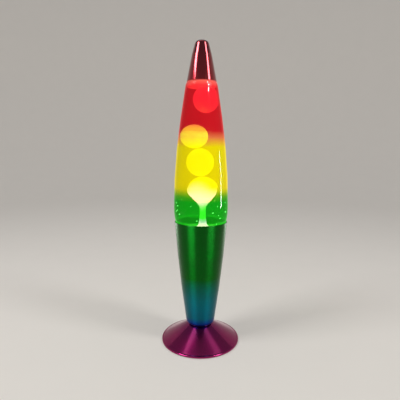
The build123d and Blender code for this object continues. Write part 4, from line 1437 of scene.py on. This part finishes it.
class LAMP_OT_stage(bpy.types.Operator):
    """Set up floor, backdrop, lights and camera"""

    bl_idname = "lamp.stage"
    bl_label = "Stage"

    def execute(self, context):
        s = context.scene.lamp_stage
        self.backdrop(s)
        self.lights(s)
        self.camera(context.scene, s)
        context.scene.view_settings.view_transform = "Standard"
        return {"FINISHED"}

    def backdrop(self, s):
        """A round floor that curves up into a wall on all sides."""
        sweep = arc(SWEEP_CENTRE, SWEEP_CENTRE[1], -90, 0)
        floor = lathe("backdrop", [(0, 0), (FLOOR_RADIUS, 0), *sweep, WALL_TOP])
        dress(floor, backdrop_paper("backdrop_paper", s.ground))

    def lights(self, s):
        """Soft boxes and strips round the lamp and overhead, and even light all round."""
        for name, turn, reach, lowest, highest, width, brightness, piece in SIDE_LIGHTS:
            side, front = reach * sin(radians(turn)), reach * cos(radians(turn))
            height = (lowest + highest) / 2
            aim = (0, 0, min(height, s.height))
            light = self.soft_box(name, (side, -front, height), aim, width, highest - lowest, brightness)
            if piece:
                self.flagged(light, piece)
        for name, x, width, brightness in TOP_LIGHTS:
            spot, aim = (x, TOP_LIGHT_BACK, TOP_LIGHT_HEIGHT), (0, TOP_LIGHT_BACK, TOP_LIGHT_AIM)
            self.soft_box(name, spot, aim, width, TOP_LIGHT_LENGTH, brightness)
        world = bpy.data.worlds.new("studio")
        bpy.context.scene.world = world
        world.use_nodes = True
        sky = world.node_tree.nodes["Background"].inputs
        sky["Color"].default_value = rgba(s.sky)
        sky["Strength"].default_value = 1.0

    def soft_box(self, name, spot, aim, width, tall, brightness):
        """An area light of a given brightness that faces a point and doesn't show itself."""
        lamp = bpy.data.lights.new(name, "AREA")
        lamp.shape = "RECTANGLE"
        lamp.size = width
        lamp.size_y = tall
        lamp.energy = brightness * pi * width * tall
        holder = bpy.data.objects.new(name, lamp)
        bpy.context.scene.collection.objects.link(holder)
        holder.location = spot
        holder.rotation_euler = (Vector(aim) - Vector(spot)).to_track_quat("-Z", "Y").to_euler()
        holder.visible_camera = False
        return holder

    def flagged(self, light, piece):
        """Keeps a light off all but one piece, as black flags beside a strip do."""
        lit = bpy.data.collections.new("lit_by_" + light.name)
        lit.objects.link(bpy.data.objects[piece])
        light.light_linking.receiver_collection = lit

    def camera(self, scene, s):
        """The camera at the photograph's place and angle."""
        data = bpy.data.cameras.new("camera")
        data.sensor_width = SENSOR
        data.lens = s.lens
        data.clip_start = NEAREST
        data.clip_end = FARTHEST
        camera = bpy.data.objects.new("camera", data)
        scene.collection.objects.link(camera)
        tilt = Matrix.Rotation(pi / 2 - s.pitch, 4, "X") @ Matrix.Rotation(s.roll, 4, "Z")
        spot = Matrix.Translation((0, -s.distance, s.height))
        camera.matrix_world = spot @ Matrix.Rotation(s.yaw, 4, "Z") @ tilt
        scene.camera = camera


class LAMP_PT_panel(bpy.types.Panel):
    """Panel with one button for each step"""

    bl_idname = "LAMP_PT_panel"
    bl_label = "Liquid motion lamp"
    bl_space_type = "VIEW_3D"
    bl_region_type = "UI"
    bl_category = "Lamp"

    def draw(self, context):
        for step in STEPS:
            self.layout.operator(step.bl_idname)


STEPS = (
    LAMP_OT_foot, LAMP_OT_fixings, LAMP_OT_cup, LAMP_OT_holder, LAMP_OT_bulb, LAMP_OT_bottle, LAMP_OT_liquid,
    LAMP_OT_wax, LAMP_OT_cap, LAMP_OT_stage,
)
SETTINGS = {
    "lamp_foot": FootSettings,
    "lamp_fixings": FixingSettings,
    "lamp_cup": CupSettings,
    "lamp_holder": HolderSettings,
    "lamp_bulb": BulbSettings,
    "lamp_bottle": BottleSettings,
    "lamp_liquid": LiquidSettings,
    "lamp_wax": WaxSettings,
    "lamp_cap": CapSettings,
    "lamp_stage": StageSettings,
}


def register():
    for name, group in SETTINGS.items():
        bpy.utils.register_class(group)
        setattr(bpy.types.Scene, name, bpy.props.PointerProperty(type=group))
    for part in (*STEPS, LAMP_PT_panel):
        bpy.utils.register_class(part)


def unregister():
    for part in (LAMP_PT_panel, *STEPS[::-1]):
        bpy.utils.unregister_class(part)
    for name, group in SETTINGS.items():
        delattr(bpy.types.Scene, name)
        bpy.utils.unregister_class(group)


def main():
    register()
    for step in STEPS:
        group, name = step.bl_idname.split(".")
        getattr(getattr(bpy.ops, group), name)()


if __name__ == "__main__":
    main()
